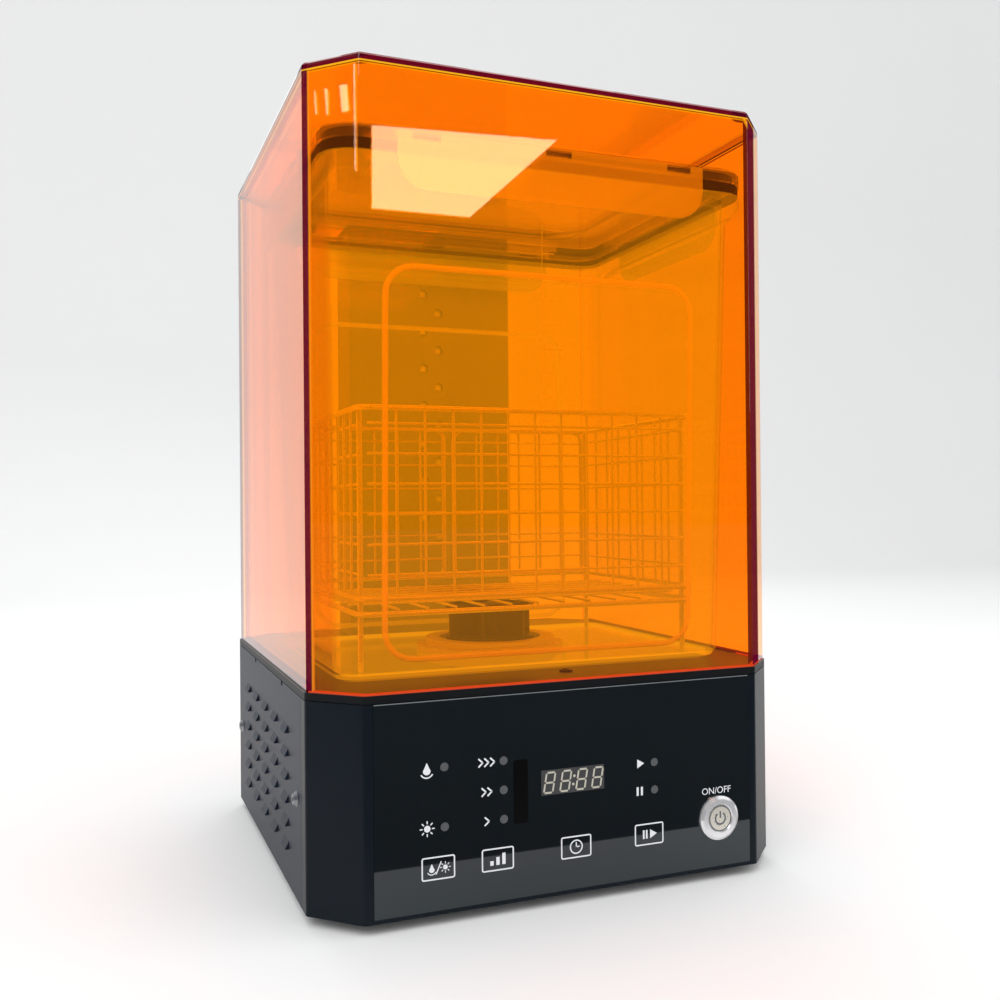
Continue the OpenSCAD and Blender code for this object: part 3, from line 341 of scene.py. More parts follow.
def amber_painted_light(f, clear, slant):
    """Painted light on the amber acrylic: a faint painted glow all over, painted shade in dark red
    where the hood is seen through its thick folds and top edge and along its lower edge under the
    side panes, painted highlight lines beside the side folds and under the top edge, a painted
    reflection along the top, and a painted glowing line on its lower front edge. The folds also
    dull the mirror."""
    low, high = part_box("hood")
    reach_x, reach_y = high.x, high.y
    x, y, z = (f.axis(name) for name in "xyz")
    front = y < 2 * HOOD_CUT - reach_y
    x, y = x.size(), y.size()
    # A faint painted glow over the whole hood
    clear = f.blend(0.02, clear, f.emission((1.0, 0.22, 0.0), 1.1))

    # Each corner has two folds, one where a side pane ends and one where a front or rear pane does
    from_side_fold = ((x - reach_x) ** 2.0 + (y - (reach_y - HOOD_CUT)) ** 2.0) ** 0.5
    from_end_fold = ((x - (reach_x - HOOD_CUT)) ** 2.0 + (y - reach_y) ** 2.0) ** 0.5
    across = f.node("ShaderNodeCombineXYZ", None, {0: 1.0})[0]
    along_side = f.node("ShaderNodeLayerWeight", None, {"Blend": 0.5, "Normal": across})[1]
    off_side_pane = x < reach_x - 0.05 * MM
    behind_side = from_side_fold.fades(3.0 * MM, 0.6 * MM) * off_side_pane * along_side.rises(0.55, 5.0)
    behind_end = (from_end_fold * (1.0 - slant)).fades(2.8 * MM, 0.5 * MM) * slant.rises(0.34, 4.0)
    folds = behind_side.at_least(behind_end)
    # Painted shade in dark red where the view runs through a fold
    painted_maroon_shade = f.emission((0.11, 0.001, 0.022), 1.0)
    clear = f.blend(folds * 0.95, clear, painted_maroon_shade)
    # A painted highlight line beside each side fold
    painted_highlight_line = from_side_fold.within(3.6 * MM, 4.6 * MM) * (slant < 0.34)
    clear = f.blend(painted_highlight_line * 0.6, clear, f.emission((1.0, 0.32, 0.02), 0.95))

    # The top pane's thick edge, seen as a band round the top of the walls: painted shade in wine and dark
    # red, a painted reflection at the very top and a painted highlight line at its foot
    wall, cut_wall = 3.8 * MM, 5.2 * MM
    border = (x > reach_x - wall).at_least(y > reach_y - wall).at_least(
        x + y > reach_x + reach_y - HOOD_CUT - cut_wall)
    band_z, gold_line, pale_edge = high.z - 4.4 * MM, 0.8 * MM, 1.7 * MM
    painted_wine_shade = f.transparent((0.2, 0.002, 0.03))
    top = border * (z > band_z)
    clear = f.blend(top * 0.5, f.blend(top, clear, painted_wine_shade), painted_maroon_shade)
    # A pale pink painted reflection along the very top of the band
    pale = border * (z > high.z - pale_edge) * (0.2 + (1.0 - slant) * 0.6)
    clear = f.blend(pale, clear, f.emission((0.8, 0.36, 0.34), 0.9))
    # A gold painted highlight line at the foot of the band
    gold = border * z.within(band_z - gold_line, band_z)
    clear = f.blend(gold * 0.75, clear, f.emission((1.0, 0.5, 0.02), 1.0))

    # The lower edge, with painted shade under the side panes and a painted glowing line under the front one
    side_pane = reach_x - 1.0 * MM
    clear = f.blend((z < low.z + 1.6 * MM) * (x > side_pane), clear, painted_wine_shade)
    painted_glow_line = (z < low.z + 0.8 * MM) * front * (x < side_pane)
    return f.blend(painted_glow_line, clear, f.emission((0.9, 0.08, 0.02), 0.8)), folds


def printed(name, colour, shine=0.5):
    """Opaque ink."""
    f = Finish(name)
    ink = f.noise(4000.0, 2.0)
    return f.done(
        f.principled(
            base_color=f.mix(ink, toned(colour, 0.9), colour),
            roughness=0.45,
            specular_ior_level=shine,
        )
    )


def verts_in(geometry):
    """The vertices among what a bmesh operator gives back."""
    return [v for v in geometry if isinstance(v, bmesh.types.BMVert)]


def edges_in(geometry):
    """The edges among what a bmesh operator gives back."""
    return [e for e in geometry if isinstance(e, bmesh.types.BMEdge)]


def thicken(bm, by):
    """Gives a flat mesh a thickness, by moving a copy of its faces."""
    grown = bmesh.ops.extrude_face_region(bm, geom=bm.faces[:])["geom"]
    bmesh.ops.translate(bm, verts=verts_in(grown), vec=by)


def piece(name, bm, material, body, smooth=None):
    """Turns a bmesh into a finished piece that rides on a body. Faces that meet at less than
    the angle smooth are shaded as one."""
    data = bpy.data.meshes.new(name)
    bmesh.ops.recalc_face_normals(bm, faces=bm.faces)
    bm.to_mesh(data)
    bm.free()
    made = bpy.data.objects.new(name, data)
    bpy.context.scene.collection.objects.link(made)
    data.materials.append(material)
    if smooth is not None:
        data.shade_smooth()
        made.modifiers.new("Smooth by angle", "EDGE_SPLIT").split_angle = math.radians(smooth)
    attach(made, body)


def tile(width, height, corner=0.0, line=0.0, slant=0.0):
    """A flat rectangle in millimetres round the origin of XY, its corners rounded, leaning by
    slant, or only its outline if line is given."""
    bm = bmesh.new()
    bmesh.ops.create_grid(bm, x_segments=1, y_segments=1, size=0.5)
    bmesh.ops.scale(bm, verts=bm.verts, vec=(width, height, 1.0))
    if corner:
        bmesh.ops.bevel(bm, geom=bm.verts[:], offset=corner, offset_type="OFFSET", segments=6,
                        profile=0.5, affect="VERTICES", material=-1)
    if line:
        inset = bmesh.ops.inset_region(bm, faces=bm.faces[:], thickness=line, use_even_offset=True,
                                       use_boundary=True)
        band = set(inset["faces"])
        bmesh.ops.delete(bm, geom=[f for f in bm.faces if f not in band], context="FACES")
    if slant:
        shear = Matrix.Identity(4)
        shear[0][1] = slant
        bmesh.ops.transform(bm, verts=bm.verts, matrix=shear)
    return bm


def disc(radius, segments=24, hole=0.0):
    """A flat disc in XY, or a ring if it has a hole."""
    if hole:
        return arc(radius - (radius - hole) / 2, radius - hole, 0.0, 360.0, segments)
    bm = bmesh.new()
    bmesh.ops.create_circle(bm, cap_ends=True, radius=radius, segments=segments)
    return bm


def arc(radius, line, start, sweep, segments=24):
    """A flat bow in XY, from an angle over a sweep in degrees."""
    bm = bmesh.new()
    ends = [bm.verts.new((radius + side * line / 2, 0, 0)) for side in (-1, 1)]
    bmesh.ops.rotate(bm, verts=ends, cent=(0, 0, 0), matrix=Matrix.Rotation(math.radians(start), 3, "Z"))
    edge = bm.edges.new(ends)
    bmesh.ops.spin(bm, geom=[*ends, edge], cent=(0, 0, 0), axis=(0, 0, 1), angle=math.radians(sweep),
                   steps=segments, use_merge=sweep == 360.0)
    return bm


def words(text, size):
    """Plain letters in XY, centred on the origin, as a flat mesh."""
    curve = bpy.data.curves.new("letters", "FONT")
    curve.body, curve.size, curve.align_x, curve.align_y = text, size, "CENTER", "CENTER"
    curve.resolution_u = 4
    made = bpy.data.objects.new("letters", curve)
    bpy.context.scene.collection.objects.link(made)
    flat = bpy.data.meshes.new_from_object(made.evaluated_get(bpy.context.evaluated_depsgraph_get()))
    bm = bmesh.new()
    bm.from_mesh(flat)
    bpy.data.objects.remove(made)
    bpy.data.curves.remove(curve)
    bpy.data.meshes.remove(flat)
    return bm


class Print:
    """Flat marks gathered into one mesh that faces the front, in millimetres. ink is how thick
    they are."""

    ink = 0.05

    def __init__(self, depth):
        self.depth = depth
        self.bm = bmesh.new()

    def add(self, part, x, z, turn=0.0, scale=1.0):
        place = Matrix.Translation((x, 0, z)) @ Matrix.Rotation(math.radians(90), 4, "X")
        place = place @ Matrix.Rotation(math.radians(turn), 4, "Z") @ Matrix.Scale(scale, 4)
        bmesh.ops.transform(part, verts=part.verts, matrix=place)
        carried = bpy.data.meshes.new("mark")
        part.to_mesh(carried)
        part.free()
        self.bm.from_mesh(carried)
        bpy.data.meshes.remove(carried)

    def lift(self):
        """The marks in metres, with a little thickness, standing on the plane at depth."""
        bm = self.bm
        bmesh.ops.remove_doubles(bm, verts=bm.verts, dist=0.001)
        thicken(bm, (0, -self.ink, 0))
        bmesh.ops.translate(bm, verts=bm.verts, vec=(0, self.depth / MM, 0))
        bmesh.ops.scale(bm, verts=bm.verts, vec=(MM, MM, MM))
        return bm


def chevrons(sheet, x, z, count):
    """Arrowheads in a row: more of them for a quicker stir."""
    size, line, slope = 4.6, 0.85, 42
    for i in range(count):
        at = x + (i - (count - 1) / 2) * size * 0.72
        for side in (-1, 1):
            sheet.add(tile(size * 0.74, line), at, z + side * size * 0.235, -side * slope)


def drop(sheet, x, z, scale=1.0):
    """A drop of liquid over a bow, for washing."""
    radius, pinch, stretch = 2.1, 0.62, 0.95
    part = disc(radius, 28)
    for vert in part.verts:
        if vert.co.y > 0:
            rise = vert.co.y / radius
            vert.co.x *= 1.0 - pinch * rise
            vert.co.y *= 1.0 + stretch * rise
    middle_z = z - 0.8 * scale
    sheet.add(part, x, middle_z, 0.0, scale)
    sheet.add(arc(3.6, 0.7, 210, 120, 12), x, middle_z, 0.0, scale)


def sun(sheet, x, z, scale=1.0):
    """A disc with rays, for curing."""
    rays, reach = 8, 3.3 * scale
    sheet.add(disc(1.75), x, z, 0.0, scale)
    for i in range(rays):
        turn = 360 / rays * i
        a = math.radians(turn)
        sheet.add(tile(1.5, 0.62), x + reach * math.cos(a), z + reach * math.sin(a), turn, scale)


class HoodSettings(PropertyGroup):
    tint: FloatVectorProperty(name="Tint", description="Light that one face of the amber hood lets through",
                              subtype="COLOR", size=3, default=(1.0, 0.667, 0.012), min=0.0, max=1.0)
    edge_tint: FloatVectorProperty(name="Edge tint", description="The same at a grazing view",
                                   subtype="COLOR", size=3, default=(1.0, 0.52, 0.23), min=0.0, max=1.0)


class StageSettings(PropertyGroup):
    lens: FloatProperty(name="Lens", description="Focal length for a 36 mm wide frame",
                        default=37.461, unit="CAMERA")
    floor_shade: FloatVectorProperty(name="Floor", description="Colour of the floor and backdrop",
                                     subtype="COLOR", size=3, default=(0.84, 0.84, 0.84), min=0.0, max=1.0)
    sky: FloatProperty(name="Sky", description="Strength of the soft light from all round",
                       default=0.97, min=0.0)
    dark_room: FloatProperty(name="Dark room", description="Strength of the room that the front mirrors",
                             default=0.04, min=0.0)


class UNIT_OT_covers(Operator):
    """Finish the painted covers, the deck and the fixings of the base"""

    bl_idname = "light_unit.covers"
    bl_label = "Covers"

    def execute(self, context):
        coat = powder_coat("textured black coat", (0.010, 0.0165, 0.030), 0.35, shine=0.14)
        for node in ("left_side_cover", "right_side_cover", "rear_cover"):
            wear(node, coat)
        wear("front_shell", powder_coat("smooth black coat", (0.0042, 0.0078, 0.0125), 0.5, 0.36, 0.12))
        wear("deck_plate", deck_coat("deck coat"))
        wear("base_tray", powder_coat("tray coat", (0.03, 0.032, 0.036), 0.5, 0.5))
        wear("rubber_feet", smooth_plastic("foot rubber", (0.012, 0.012, 0.012), 0.75))
        wear("deck_posts", metal("zinc post", (0.6, 0.61, 0.62), 0.35))
        steel = metal("screw steel", (0.72, 0.73, 0.75), 0.2)
        for node in ("board_screws", "motor_screws", "lamp_screws"):
            wear(node, steel)
        wear("side_screws", metal("dulled screw", (0.3, 0.31, 0.33), 0.4))
        wear("rear_screws", metal("blackened screw", (0.05, 0.05, 0.055), 0.35))
        wear("hood_sensor", smooth_plastic("sensor plastic", (0.03, 0.03, 0.033), 0.4))
        wear("power_socket", smooth_plastic("socket plastic", (0.02, 0.02, 0.022), 0.45))
        return {"FINISHED"}


class UNIT_OT_control_panel(Operator):
    """Finish the glossy panel, the display and the indicator lights"""

    bl_idname = "light_unit.control_panel"
    bl_label = "Control panel"

    def execute(self, context):
        wear("glossy_panel", gloss_panel("black acrylic"))
        wear("display_lens", smooth_plastic("display window", (0.052, 0.052, 0.055), 0.2))
        wear("indicator_lenses", smooth_plastic("indicator lens", (0.085, 0.09, 0.095), 0.3))
        wear("display_module", smooth_plastic("display body", (0.05, 0.05, 0.05)))
        wear("control_board", smooth_plastic("board green", (0.02, 0.12, 0.05), 0.4))
        wear("touch_contacts", metal("contact copper", (0.8, 0.45, 0.25), 0.3))
        self.marks()
        self.digits()
        self.port()
        self.top_edge()
        return {"FINISHED"}

    def marks(self):
        """White key outlines and pictograms, and the words over the power button."""
        sheet = Print(PANEL_Y)
        self.keys(sheet)
        self.light_marks(sheet)
        button_x, over_button, letters = 90.2, 51.7, 5.4
        sheet.add(words("ON/OFF", letters), button_x, over_button)
        white = printed("white print", (0.74, 0.77, 0.8))
        piece("panel_marks", sheet.lift(), white, "base")

    def keys(self, sheet):
        """Four framed keys: wash or cure, speed, time, and start or pause."""
        mode, speed, time, run = (-78.7, 30.25), (-45.6, 30.35), (0.35, 31.0), (45.75, 32.3)
        wide, tall, corner, line, small = 18.3, 12.1, 1.3, 0.75, 0.72
        for x, z in (mode, speed, time, run):
            sheet.add(tile(wide, tall, corner, line), x, z)
        drop(sheet, mode[0] - 3.6, mode[1], small)
        sun(sheet, mode[0] + 3.8, mode[1], small)
        sheet.add(tile(0.6, 7.0), mode[0] + 0.1, mode[1], -24)
        for i, tall in enumerate((2.4, 4.2, 6.0)):
            sheet.add(tile(1.9, tall), speed[0] - 3.4 + i * 3.4, speed[1] - 3.0 + tall / 2)
        sheet.add(disc(3.9, 32, 3.2), *time)
        sheet.add(tile(0.65, 2.7), time[0], time[1] + 1.1)
        sheet.add(tile(2.2, 0.65), time[0] + 0.9, time[1])
        for i in (0, 1):
            sheet.add(tile(1.1, 4.8), run[0] - 3.5 + i * 1.9, run[1])
        sheet.add(disc(2.9, 3), run[0] + 2.0, run[1], -90)

    def light_marks(self, sheet):
        """What the indicator lights stand for: wash, cure, three speeds, start and pause."""
        mode_x, speed_x, run_x = -84.6, -51.6, 40.0
        drop(sheet, mode_x, 81.6)
        sun(sheet, mode_x, 51.0)
        for count, z in ((3, 82.0), (2, 66.5), (1, 51.0)):
            chevrons(sheet, speed_x, z, count)
        sheet.add(disc(2.9, 3), run_x, 72.2, -90)
        for i in (-1, 1):
            sheet.add(tile(1.3, 4.8), run_x + i * 1.35, 56.8)

    def digits(self):
        """Four figures of seven bars with a colon between the pairs."""
        sheet = Print(PANEL_Y)
        wide, tall, thick = 5.2, 10.8, 0.95
        middle, z, pitch, lean, corner = -0.8, 67.5, 9.6, 0.17, 0.4
        for place in (-1.5, -0.5, 0.5, 1.5):
            x = middle + place * pitch
            for side in (-1, 0, 1):
                bar = tile(wide - thick * 0.9, thick, corner, 0, lean)
                sheet.add(bar, x + side * tall / 2 * lean, z + side * tall / 2)
            for sx in (-1, 1):
                for sz in (-1, 1):
                    bar = tile(thick, tall / 2 - thick * 0.9, corner, 0, lean)
                    sheet.add(bar, x + sx * wide / 2 + sz * tall / 4 * lean, z + sz * tall / 4)
        for side in (-1, 1):
            sheet.add(disc(0.75, 16), middle + side * 0.35, z + side * 2.2)
        pale = printed("pale figures", (0.50, 0.48, 0.40))
        piece("display_figures", sheet.lift(), pale, "base")

    def port(self):
        """A closed upright port cover, level with the panel, beside the speed lights."""
        sheet = Print(PANEL_Y)
        wide, tall, corner, x, z = 8.4, 34.0, 1.6, -32.2, 64.6
        sheet.add(tile(wide, tall, corner), x, z)
        matt = printed("port cover", (0.0014, 0.0014, 0.0016), 0.12)
        piece("port_cover", sheet.lift(), matt, "base")

    def top_edge(self):
        """A thin light line along the panel's top edge: a painted highlight where its bevel catches light.
        """
        low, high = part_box("glossy_panel")
        middle, wide, line, end_gap = (low + high) / 2 / MM, (high.x - low.x) / MM, 0.5, 0.5
        sheet = Print(PANEL_Y)
        sheet.add(tile(wide - 2 * end_gap, line), middle.x, high.z / MM - 0.3)
        # A lighter strip standing for the bevel's shine: a painted highlight
        edge = printed("painted edge highlight", (0.16, 0.18, 0.19))
        piece("panel_top_edge", sheet.lift(), edge, "base")


class UNIT_OT_power_button(Operator):
    """Finish the power button"""

    bl_idname = "light_unit.power_button"
    bl_label = "Power button"

    def execute(self, context):
        wear("button_barrel", metal("bezel chrome", (0.9, 0.9, 0.92), 0.2, shine=0.65))
        wear("button_nut", metal("nut steel", (0.6, 0.6, 0.62), 0.3))
        wear("button_cap", metal("cap steel", (0.84, 0.8, 0.71), 0.3, shine=0.6))
        low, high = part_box("button_cap")
        x, z = (low.x + high.x) / 2 / MM, (low.z + high.z) / 2 / MM
        sheet = Print(low.y)
        line, bore, groove = 1.0, 7.45, 0.7
        sheet.add(arc(3.3, line, 125, 290, 28), x, z)
        sheet.add(tile(line, 3.8), x, z + 2.2)
        sheet.add(disc(bore, 48, bore - groove), x, z)
        grey = printed("grey engraving", (0.10, 0.11, 0.13))
        piece("power_symbol", sheet.lift(), grey, "button")
        return {"FINISHED"}


class UNIT_OT_drive(Operator):
    """Finish the motor, the rotor, the boards inside and the impeller"""

    bl_idname = "light_unit.drive"
    bl_label = "Drive"

    def execute(self, context):
        zinc = metal("zinc plate", (0.6, 0.61, 0.63), 0.35)
        for node in ("motor_plate", "motor_shaft", "spindle"):
            wear(node, zinc)
        wear("drive_motor", metal("motor can", (0.42, 0.43, 0.45), 0.35))
        dark = smooth_plastic("dark plastic", (0.03, 0.03, 0.033), 0.45)
        for node in ("drive_rotor", "power_board_parts"):
            wear(node, dark)
        nickel = metal("magnet nickel", (0.74, 0.73, 0.7), 0.15)
        for node in ("rotor_magnets", "impeller_magnets"):
            wear(node, nickel)
        wear("power_board", smooth_plastic("board green dark", (0.02, 0.1, 0.045), 0.4))
        wear("impeller", smooth_plastic("impeller plastic", (0.05, 0.045, 0.04), 0.35))
        return {"FINISHED"}


class UNIT_OT_lamp_column(Operator):
    """Finish the lamp column behind the tank"""

    bl_idname = "light_unit.lamp_column"
    bl_label = "Lamp column"

    def execute(self, context):
        coat = powder_coat("lamp column coat", (0.34, 0.34, 0.33), 0.4, 0.5)
        wear("lamp_housing", coat)
        wear("lamp_front", coat)
        wear("lamp_board", smooth_plastic("lamp board", (0.75, 0.75, 0.72), 0.4))
        wear("lamp_leds", smooth_plastic("lamp phosphor", (0.85, 0.8, 0.45), 0.2))
        return {"FINISHED"}


class UNIT_OT_hood(Operator):
    """Make the amber hood"""

    bl_idname = "light_unit.hood"
    bl_label = "Hood"

    def execute(self, context):
        s = context.scene.light_unit_hood
        # Each face passes a little more amber light than reaches it: painted light that brightens the hood
        gain = 1.08
        tint, edge_tint = (tuple(c * gain for c in colour) for colour in (s.tint, s.edge_tint))
        wear("hood", see_through("amber acrylic", tint, edge_tint, bands=amber_painted_light))
        return {"FINISHED"}


class UNIT_OT_tank(Operator):
    """Finish the tank, its lid and the latches"""

    bl_idname = "light_unit.tank"
    bl_label = "Tank"

    def execute(self, context):
        milk = (0.95, 0.95, 0.93)
        # The tank carries a painted glow, made stronger on its floor
        wear("tank", see_through("clear tank", (0.985, 0.98, 0.97), (0.66, 0.62, 0.56), 0.015, milk,
                                 0.06, 0.012, self.painted_floor_glow, 1.3))
        wear("lid", see_through("clear lid", (0.975, 0.97, 0.96), (0.6, 0.56, 0.5), 0.03, milk,
                                0.05, 0.015, self.painted_skirt_shade))
        # The latches carry a faint painted glow
        latch = see_through("clear latch", (0.965, 0.96, 0.95), (0.6, 0.56, 0.5), 0.3, milk,
                            0.08, 0.02, painted_glow=0.4)
        for node in ("front_latch", "rear_latch", "left_latch", "right_latch"):
            wear(node, latch)
        wear("impeller_seat", smooth_plastic("seat plastic", (0.7, 0.69, 0.64), 0.35))
        wear("lid_gasket", smooth_plastic("gasket rubber", (0.008, 0.008, 0.008), 0.6))
        self.graduation()
        self.beads()
        wear("latch_pins", metal("hinge pin", (0.7, 0.7, 0.72), 0.2))
        return {"FINISHED"}

    def painted_skirt_shade(self, f, clear, slant):
        """Painted shade on the lid's edge just over the gasket, darker at the corners, where the edge turns
        light away.
        """
        gasket_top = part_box("lid_gasket")[1].z
        corner = (f.axis("x").size() > 94 * MM) * ((f.axis("y") - TANK_Y).size() > 66 * MM)
        skirt = f.axis("z").within(gasket_top + 0.8 * MM, gasket_top + 6.5 * MM) * (slant < 0.8)
        return f.blend(skirt * (corner * 0.55 + 0.25), clear, f.transparent((0.3, 0.33, 0.3))), 0.0

    def painted_floor_glow(self, f, clear, slant):
        """A painted glow on the tank's floor, so that it looks fuller of light than its walls."""
        floor = f.axis("z") < DECK_Z + 4.5 * MM
        return f.blend(floor * 0.42, clear, f.emission((1.0, 0.72, 0.6), 1.05)), 0.0

    def on_wall(self, bm, side, foot):
        """Moves what is drawn at y = 0 onto the front (-1) or the rear (1) wall, which leans
        outward as it rises from foot, its distance from the tank's middle at the deck."""
        for vert in bm.verts:
            vert.co.y += TANK_Y + side * (foot + (vert.co.z - DECK_Z) * TANK_LEAN)

    def graduation(self):
        """Level marks on the tank's front wall."""
        sheet = Print(0.0)
        x, low_z, step, count = -3.0, 238.5, 13.7, 11
        stem, stem_z = 141.0, 308.5
        sheet.add(tile(0.5, stem), x, stem_z)
        for i in range(count):
            length = 13.0 if i % 5 == 0 else 7.5
            sheet.add(tile(length, 0.6), x + length / 2, low_z + i * step)
        bm = sheet.lift()
        self.on_wall(bm, -1, 88.2 * MM)
        f = Finish("faint white print")
        white = f.mix(f.noise(700.0, 2.0), (0.8, 0.8, 0.78), (0.9, 0.9, 0.88))
        paint = f.principled(base_color=white, roughness=0.5)
        material = f.done(f.blend(0.4, f.transparent((1, 1, 1)), paint))
        piece("level_marks", bm, material, "tank")

    def beads(self):
        """The rounded bead round the framed panel of the front and the rear wall."""
        material = see_through("bead highlight", (1.0, 0.96, 0.9), (1.0, 0.9, 0.75), 0.42, (1, 1, 0.97),
                               0.1, 0.05)
        wide, tall, corner, middle_z = 195.0, 218.9, 18.0, 240.75
        line, rise, rounding = 3.4, 1.5, 1.1
        for name, side in (("front_bead", -1), ("rear_bead", 1)):
            bm = tile(wide, tall, corner, line)
            thicken(bm, (0, 0, rise))
            sharp = [e for e in bm.edges if len(e.link_faces) == 2 and e.calc_face_angle() > 1.0
                     and min(v.co.z for v in e.verts) > 1.0]
            bmesh.ops.bevel(bm, geom=sharp, offset=rounding, segments=3, profile=0.5, affect="EDGES",
                            material=-1)
            bmesh.ops.transform(bm, verts=bm.verts, matrix=Matrix.Rotation(math.radians(90), 4, "X"))
            bmesh.ops.translate(bm, verts=bm.verts, vec=(0, 0, middle_z))
            bmesh.ops.scale(bm, verts=bm.verts, vec=(MM, -side * MM, MM))
            self.on_wall(bm, side, 88.0 * MM)
            piece(name, bm, material, "tank", 40)


class UNIT_OT_basket(Operator):
    """Finish the wire basket"""

    bl_idname = "light_unit.basket"
    bl_label = "Basket"

    def execute(self, context):
        wire = metal("basket wire", (0.95, 0.93, 0.9), 0.3, shine=0.52)
        for node in NODES:
            if node.startswith("basket_"):
                wear(node, wire)
        return {"FINISHED"}


class UNIT_OT_stage(Operator):
    """Set up the floor, the lights and the camera"""

    bl_idname = "light_unit.stage"
    bl_label = "Stage"

    def execute(self, context):
        s = context.scene.light_unit_stage
        self.backdrop(s)
        self.sky(context, s)
        self.lights(context)
        self.window()
        context.scene.view_settings.view_transform = "Standard"
        context.scene.cycles.transparent_max_bounces = 32
        self.camera(context, s)
        return {"FINISHED"}

    def paper(self, s):
        """White paper, a little lighter near the front, which is painted light. Mirrors see the floor
        before the front dark, a painted reflection of a dark room.
        """
        f = Finish("backdrop paper")
        fibre = f.noise(3.0, 2.0)
        floor = tuple(s.floor_shade)
        # Lighter towards the front: painted light that evens out the floor where it gets less light
        far = f.mix(fibre, toned(floor, 0.985), floor)
        near = f.mix(fibre, toned(floor, 1.06), toned(floor, 1.08))
        white = f.principled(
            base_color=f.mix((0.9 - f.axis("y")).clamped(), far, near),
            roughness=0.9,
            specular_ior_level=0.1,
        )
        # To mirrors the floor before the front is dark: a painted reflection
        mirrored = f.node("ShaderNodeLightPath")[3]
        # The mirrored floor ends where the photograph's panel turns dark
        before_front = f.axis("y") < -236 * MM
        return f.done(f.blend(mirrored * before_front, white, f.diffuse((0.09, 0.105, 0.115))))

    def backdrop(self, s):
        """A floor that curves up into a wall behind the object."""
        half_width, near_y, bend_y, radius, wall = 14.0, -9.0, 2.0, 1.6, 3.5
        bm = bmesh.new()
        ends = [bm.verts.new((side * half_width, near_y, 0.0)) for side in (-1, 1)]
        grown = bmesh.ops.extrude_edge_only(bm, edges=[bm.edges.new(ends)])["geom"]
        far = verts_in(grown)
        bmesh.ops.translate(bm, verts=far, vec=(0, bend_y - near_y, 0))
        ridge = [e for e in edges_in(grown) if all(v in far for v in e.verts)]
        turned = bmesh.ops.spin(bm, geom=far + ridge, cent=(0, bend_y, radius), axis=(1, 0, 0),
                                angle=math.radians(90), steps=24)["geom_last"]
        top = bmesh.ops.extrude_edge_only(bm, edges=edges_in(turned))["geom"]
        bmesh.ops.translate(bm, verts=verts_in(top), vec=(0, 0, wall))
        made = self.prop("backdrop", bm, self.paper(s))
        made.data.shade_smooth()

    def prop(self, name, bm, material):
        """A thing of the stage, which isn't part of the object."""
        data = bpy.data.meshes.new(name)
        bm.to_mesh(data)
        bm.free()
        data.materials.append(material)
        made = bpy.data.objects.new(name, data)
        bpy.context.scene.collection.objects.link(made)
        return made

    def sky(self, context, s):
        """Soft light from all round, but for mirrors a dark room before the object."""
        world = bpy.data.worlds.new("studio")
        world.use_nodes = True
        tree = world.node_tree
        back = tree.nodes["Background"]
        back.inputs["Color"].default_value = (0.97, 0.975, 0.98, 1.0)
        where = tree.nodes.new("ShaderNodeTexCoord")
        parts = tree.nodes.new("ShaderNodeSeparateXYZ")
        ramp = tree.nodes.new("ShaderNodeMapRange")
        spans = {"From Min": -0.1, "From Max": 0.3, "To Min": s.dark_room, "To Max": s.sky}
        for name, value in spans.items():
            ramp.inputs[name].default_value = value
        path = tree.nodes.new("ShaderNodeLightPath")
        pick = tree.nodes.new("ShaderNodeMix")
        pick.inputs["A"].default_value = s.sky
        for out, into in (
            (where.outputs["Generated"], parts.inputs[0]),
            (parts.outputs["Y"], ramp.inputs["Value"]),
            (path.outputs["Is Glossy Ray"], pick.inputs["Factor"]),
            (ramp.outputs["Result"], pick.inputs["B"]),
            (pick.outputs["Result"], back.inputs["Strength"]),
        ):
            tree.links.new(out, into)
        context.scene.world = world

    def lights(self, context):
        """Three large soft lamps, sizes and places in metres and power in watts."""
        for name, place, aim, size, power in (
            ("key", (-1.3, -1.5, 1.9), (0, 0, 0.25), 1.4, 20.0),
            ("fill", (1.8, -1.2, 1.2), (0, 0, 0.2), 1.6, 8.0),
            ("back", (0.2, 1.5, 1.7), (0, 0.6, 0.1), 1.8, 11.5),
        ):
            lamp = bpy.data.lights.new(name, "AREA")
            lamp.shape, lamp.size, lamp.energy = "SQUARE", size, power
            made = bpy.data.objects.new(name, lamp)
            made.location = place
            made.rotation_euler = (Vector(aim) - Vector(place)).to_track_quat("-Z", "Y").to_euler()
            context.scene.collection.objects.link(made)

    def window(self):
        """The bright lamp window that the hood's front mirrors, and four narrow ones that its
        cut corner does, seen by mirrors alone. Corners are in millimetres."""
        f = Finish("lamp window")
        soft = f.noise(1.2, 2.0)
        material = f.done(f.emission(f.mix(soft, (1.0, 0.58, 0.40), (1.0, 0.63, 0.48)), 14.0))
        front, left = -1100, -1500
        bm = bmesh.new()
        for corners in (
            ((143.8, front, 772), (440, front, 786.4), (294.4, front, 652.4), (142.8, front, 651.1)),
            ((left, -411, 982), (left, -414, 982), (left, -416, 940), (left, -413, 940)),
            ((left, -430, 990), (left, -436, 990), (left, -437, 945), (left, -433, 940)),
            ((left, -458, 1000), (left, -472, 1004), (left, -476, 955), (left, -462, 950)),
            ((left, -485, 1045), (left, -488, 1045), (left, -489, 845), (left, -486, 845)),
        ):
            bm.faces.new([bm.verts.new(Vector(p) * MM) for p in corners])
        made = self.prop("lamp_window", bm, material)
        made.visible_camera = made.visible_diffuse = made.visible_transmission = False
        made.visible_volume_scatter = made.visible_shadow = False

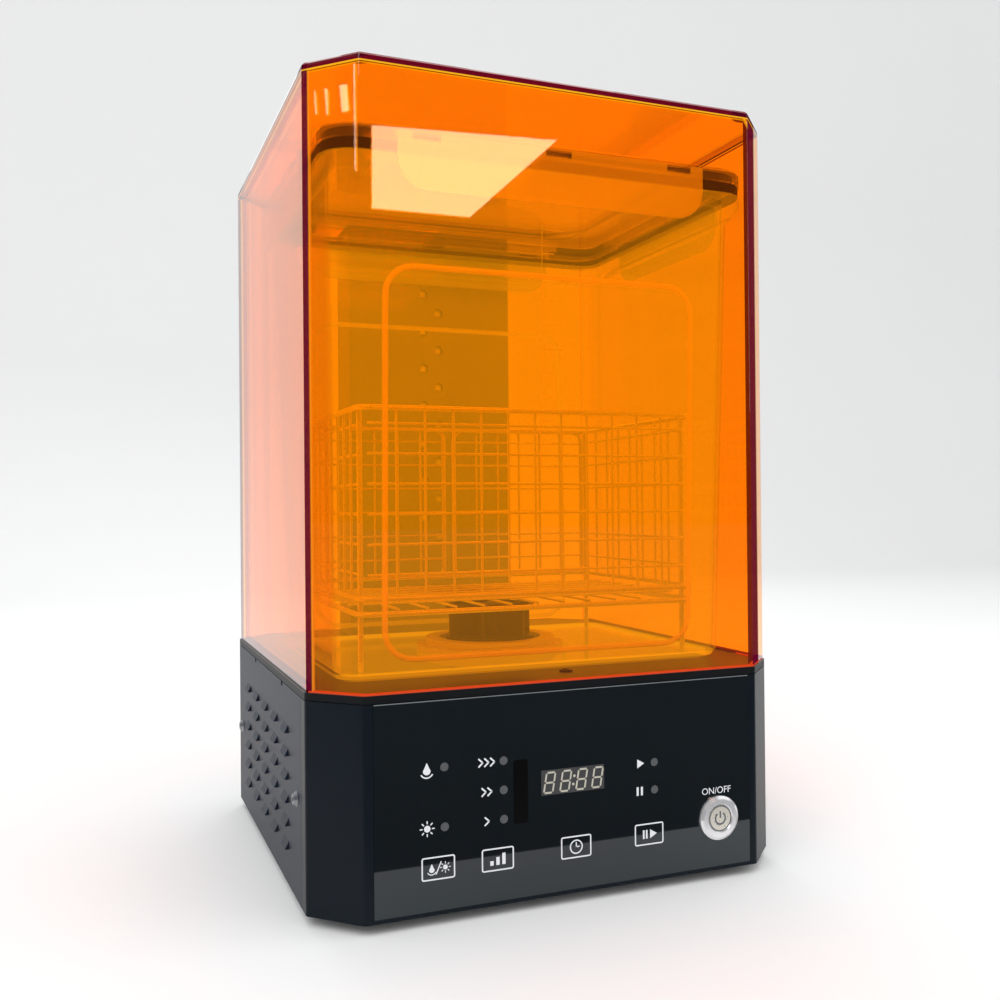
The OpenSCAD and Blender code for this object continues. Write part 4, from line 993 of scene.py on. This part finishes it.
    def camera(self, context, s):
        """The camera that took the photograph, from a perspective fit."""
        place = (-0.24742, -0.65895, 0.21726)
        azimuth, elevation, roll = (math.radians(a) for a in (-21.762, -0.310, -0.501))
        back = Matrix.Rotation(azimuth, 3, "Z") @ Vector((0, -math.cos(elevation), math.sin(elevation)))
        side = Vector((0, 0, 1)).cross(back).normalized()
        up = back.cross(side)
        right = math.cos(roll) * side + math.sin(roll) * up
        over = -math.sin(roll) * side + math.cos(roll) * up
        turn = Matrix((right, over, back)).transposed().to_4x4()
        lens = bpy.data.cameras.new("camera")
        lens.lens, lens.sensor_width, lens.clip_start, lens.clip_end = s.lens, 36.0, 0.01, 50.0
        made = bpy.data.objects.new("camera", lens)
        made.matrix_world = Matrix.Translation(place) @ turn
        context.scene.collection.objects.link(made)
        context.scene.camera = made


class VIEW3D_PT_light_unit(Panel):
    bl_label = "Light unit"
    bl_space_type = "VIEW_3D"
    bl_region_type = "UI"
    bl_category = "Light unit"

    def draw(self, context):
        for operator in STEPS:
            self.layout.operator(operator.bl_idname)
        self.layout.prop(context.scene.light_unit_hood, "tint")
        self.layout.prop(context.scene.light_unit_stage, "floor_shade")


STEPS = (UNIT_OT_stage, UNIT_OT_covers, UNIT_OT_control_panel, UNIT_OT_power_button, UNIT_OT_drive,
         UNIT_OT_lamp_column, UNIT_OT_hood, UNIT_OT_tank, UNIT_OT_basket)
CLASSES = (HoodSettings, StageSettings, *STEPS, VIEW3D_PT_light_unit)


def register():
    for cls in CLASSES:
        bpy.utils.register_class(cls)
    bpy.types.Scene.light_unit_hood = PointerProperty(type=HoodSettings)
    bpy.types.Scene.light_unit_stage = PointerProperty(type=StageSettings)


def unregister():
    del bpy.types.Scene.light_unit_stage
    del bpy.types.Scene.light_unit_hood
    for cls in reversed(CLASSES):
        bpy.utils.unregister_class(cls)


def main():
    register()
    for step in STEPS:
        group, name = step.bl_idname.split(".")
        getattr(getattr(bpy.ops, group), name)()


if __name__ == "__main__":
    main()
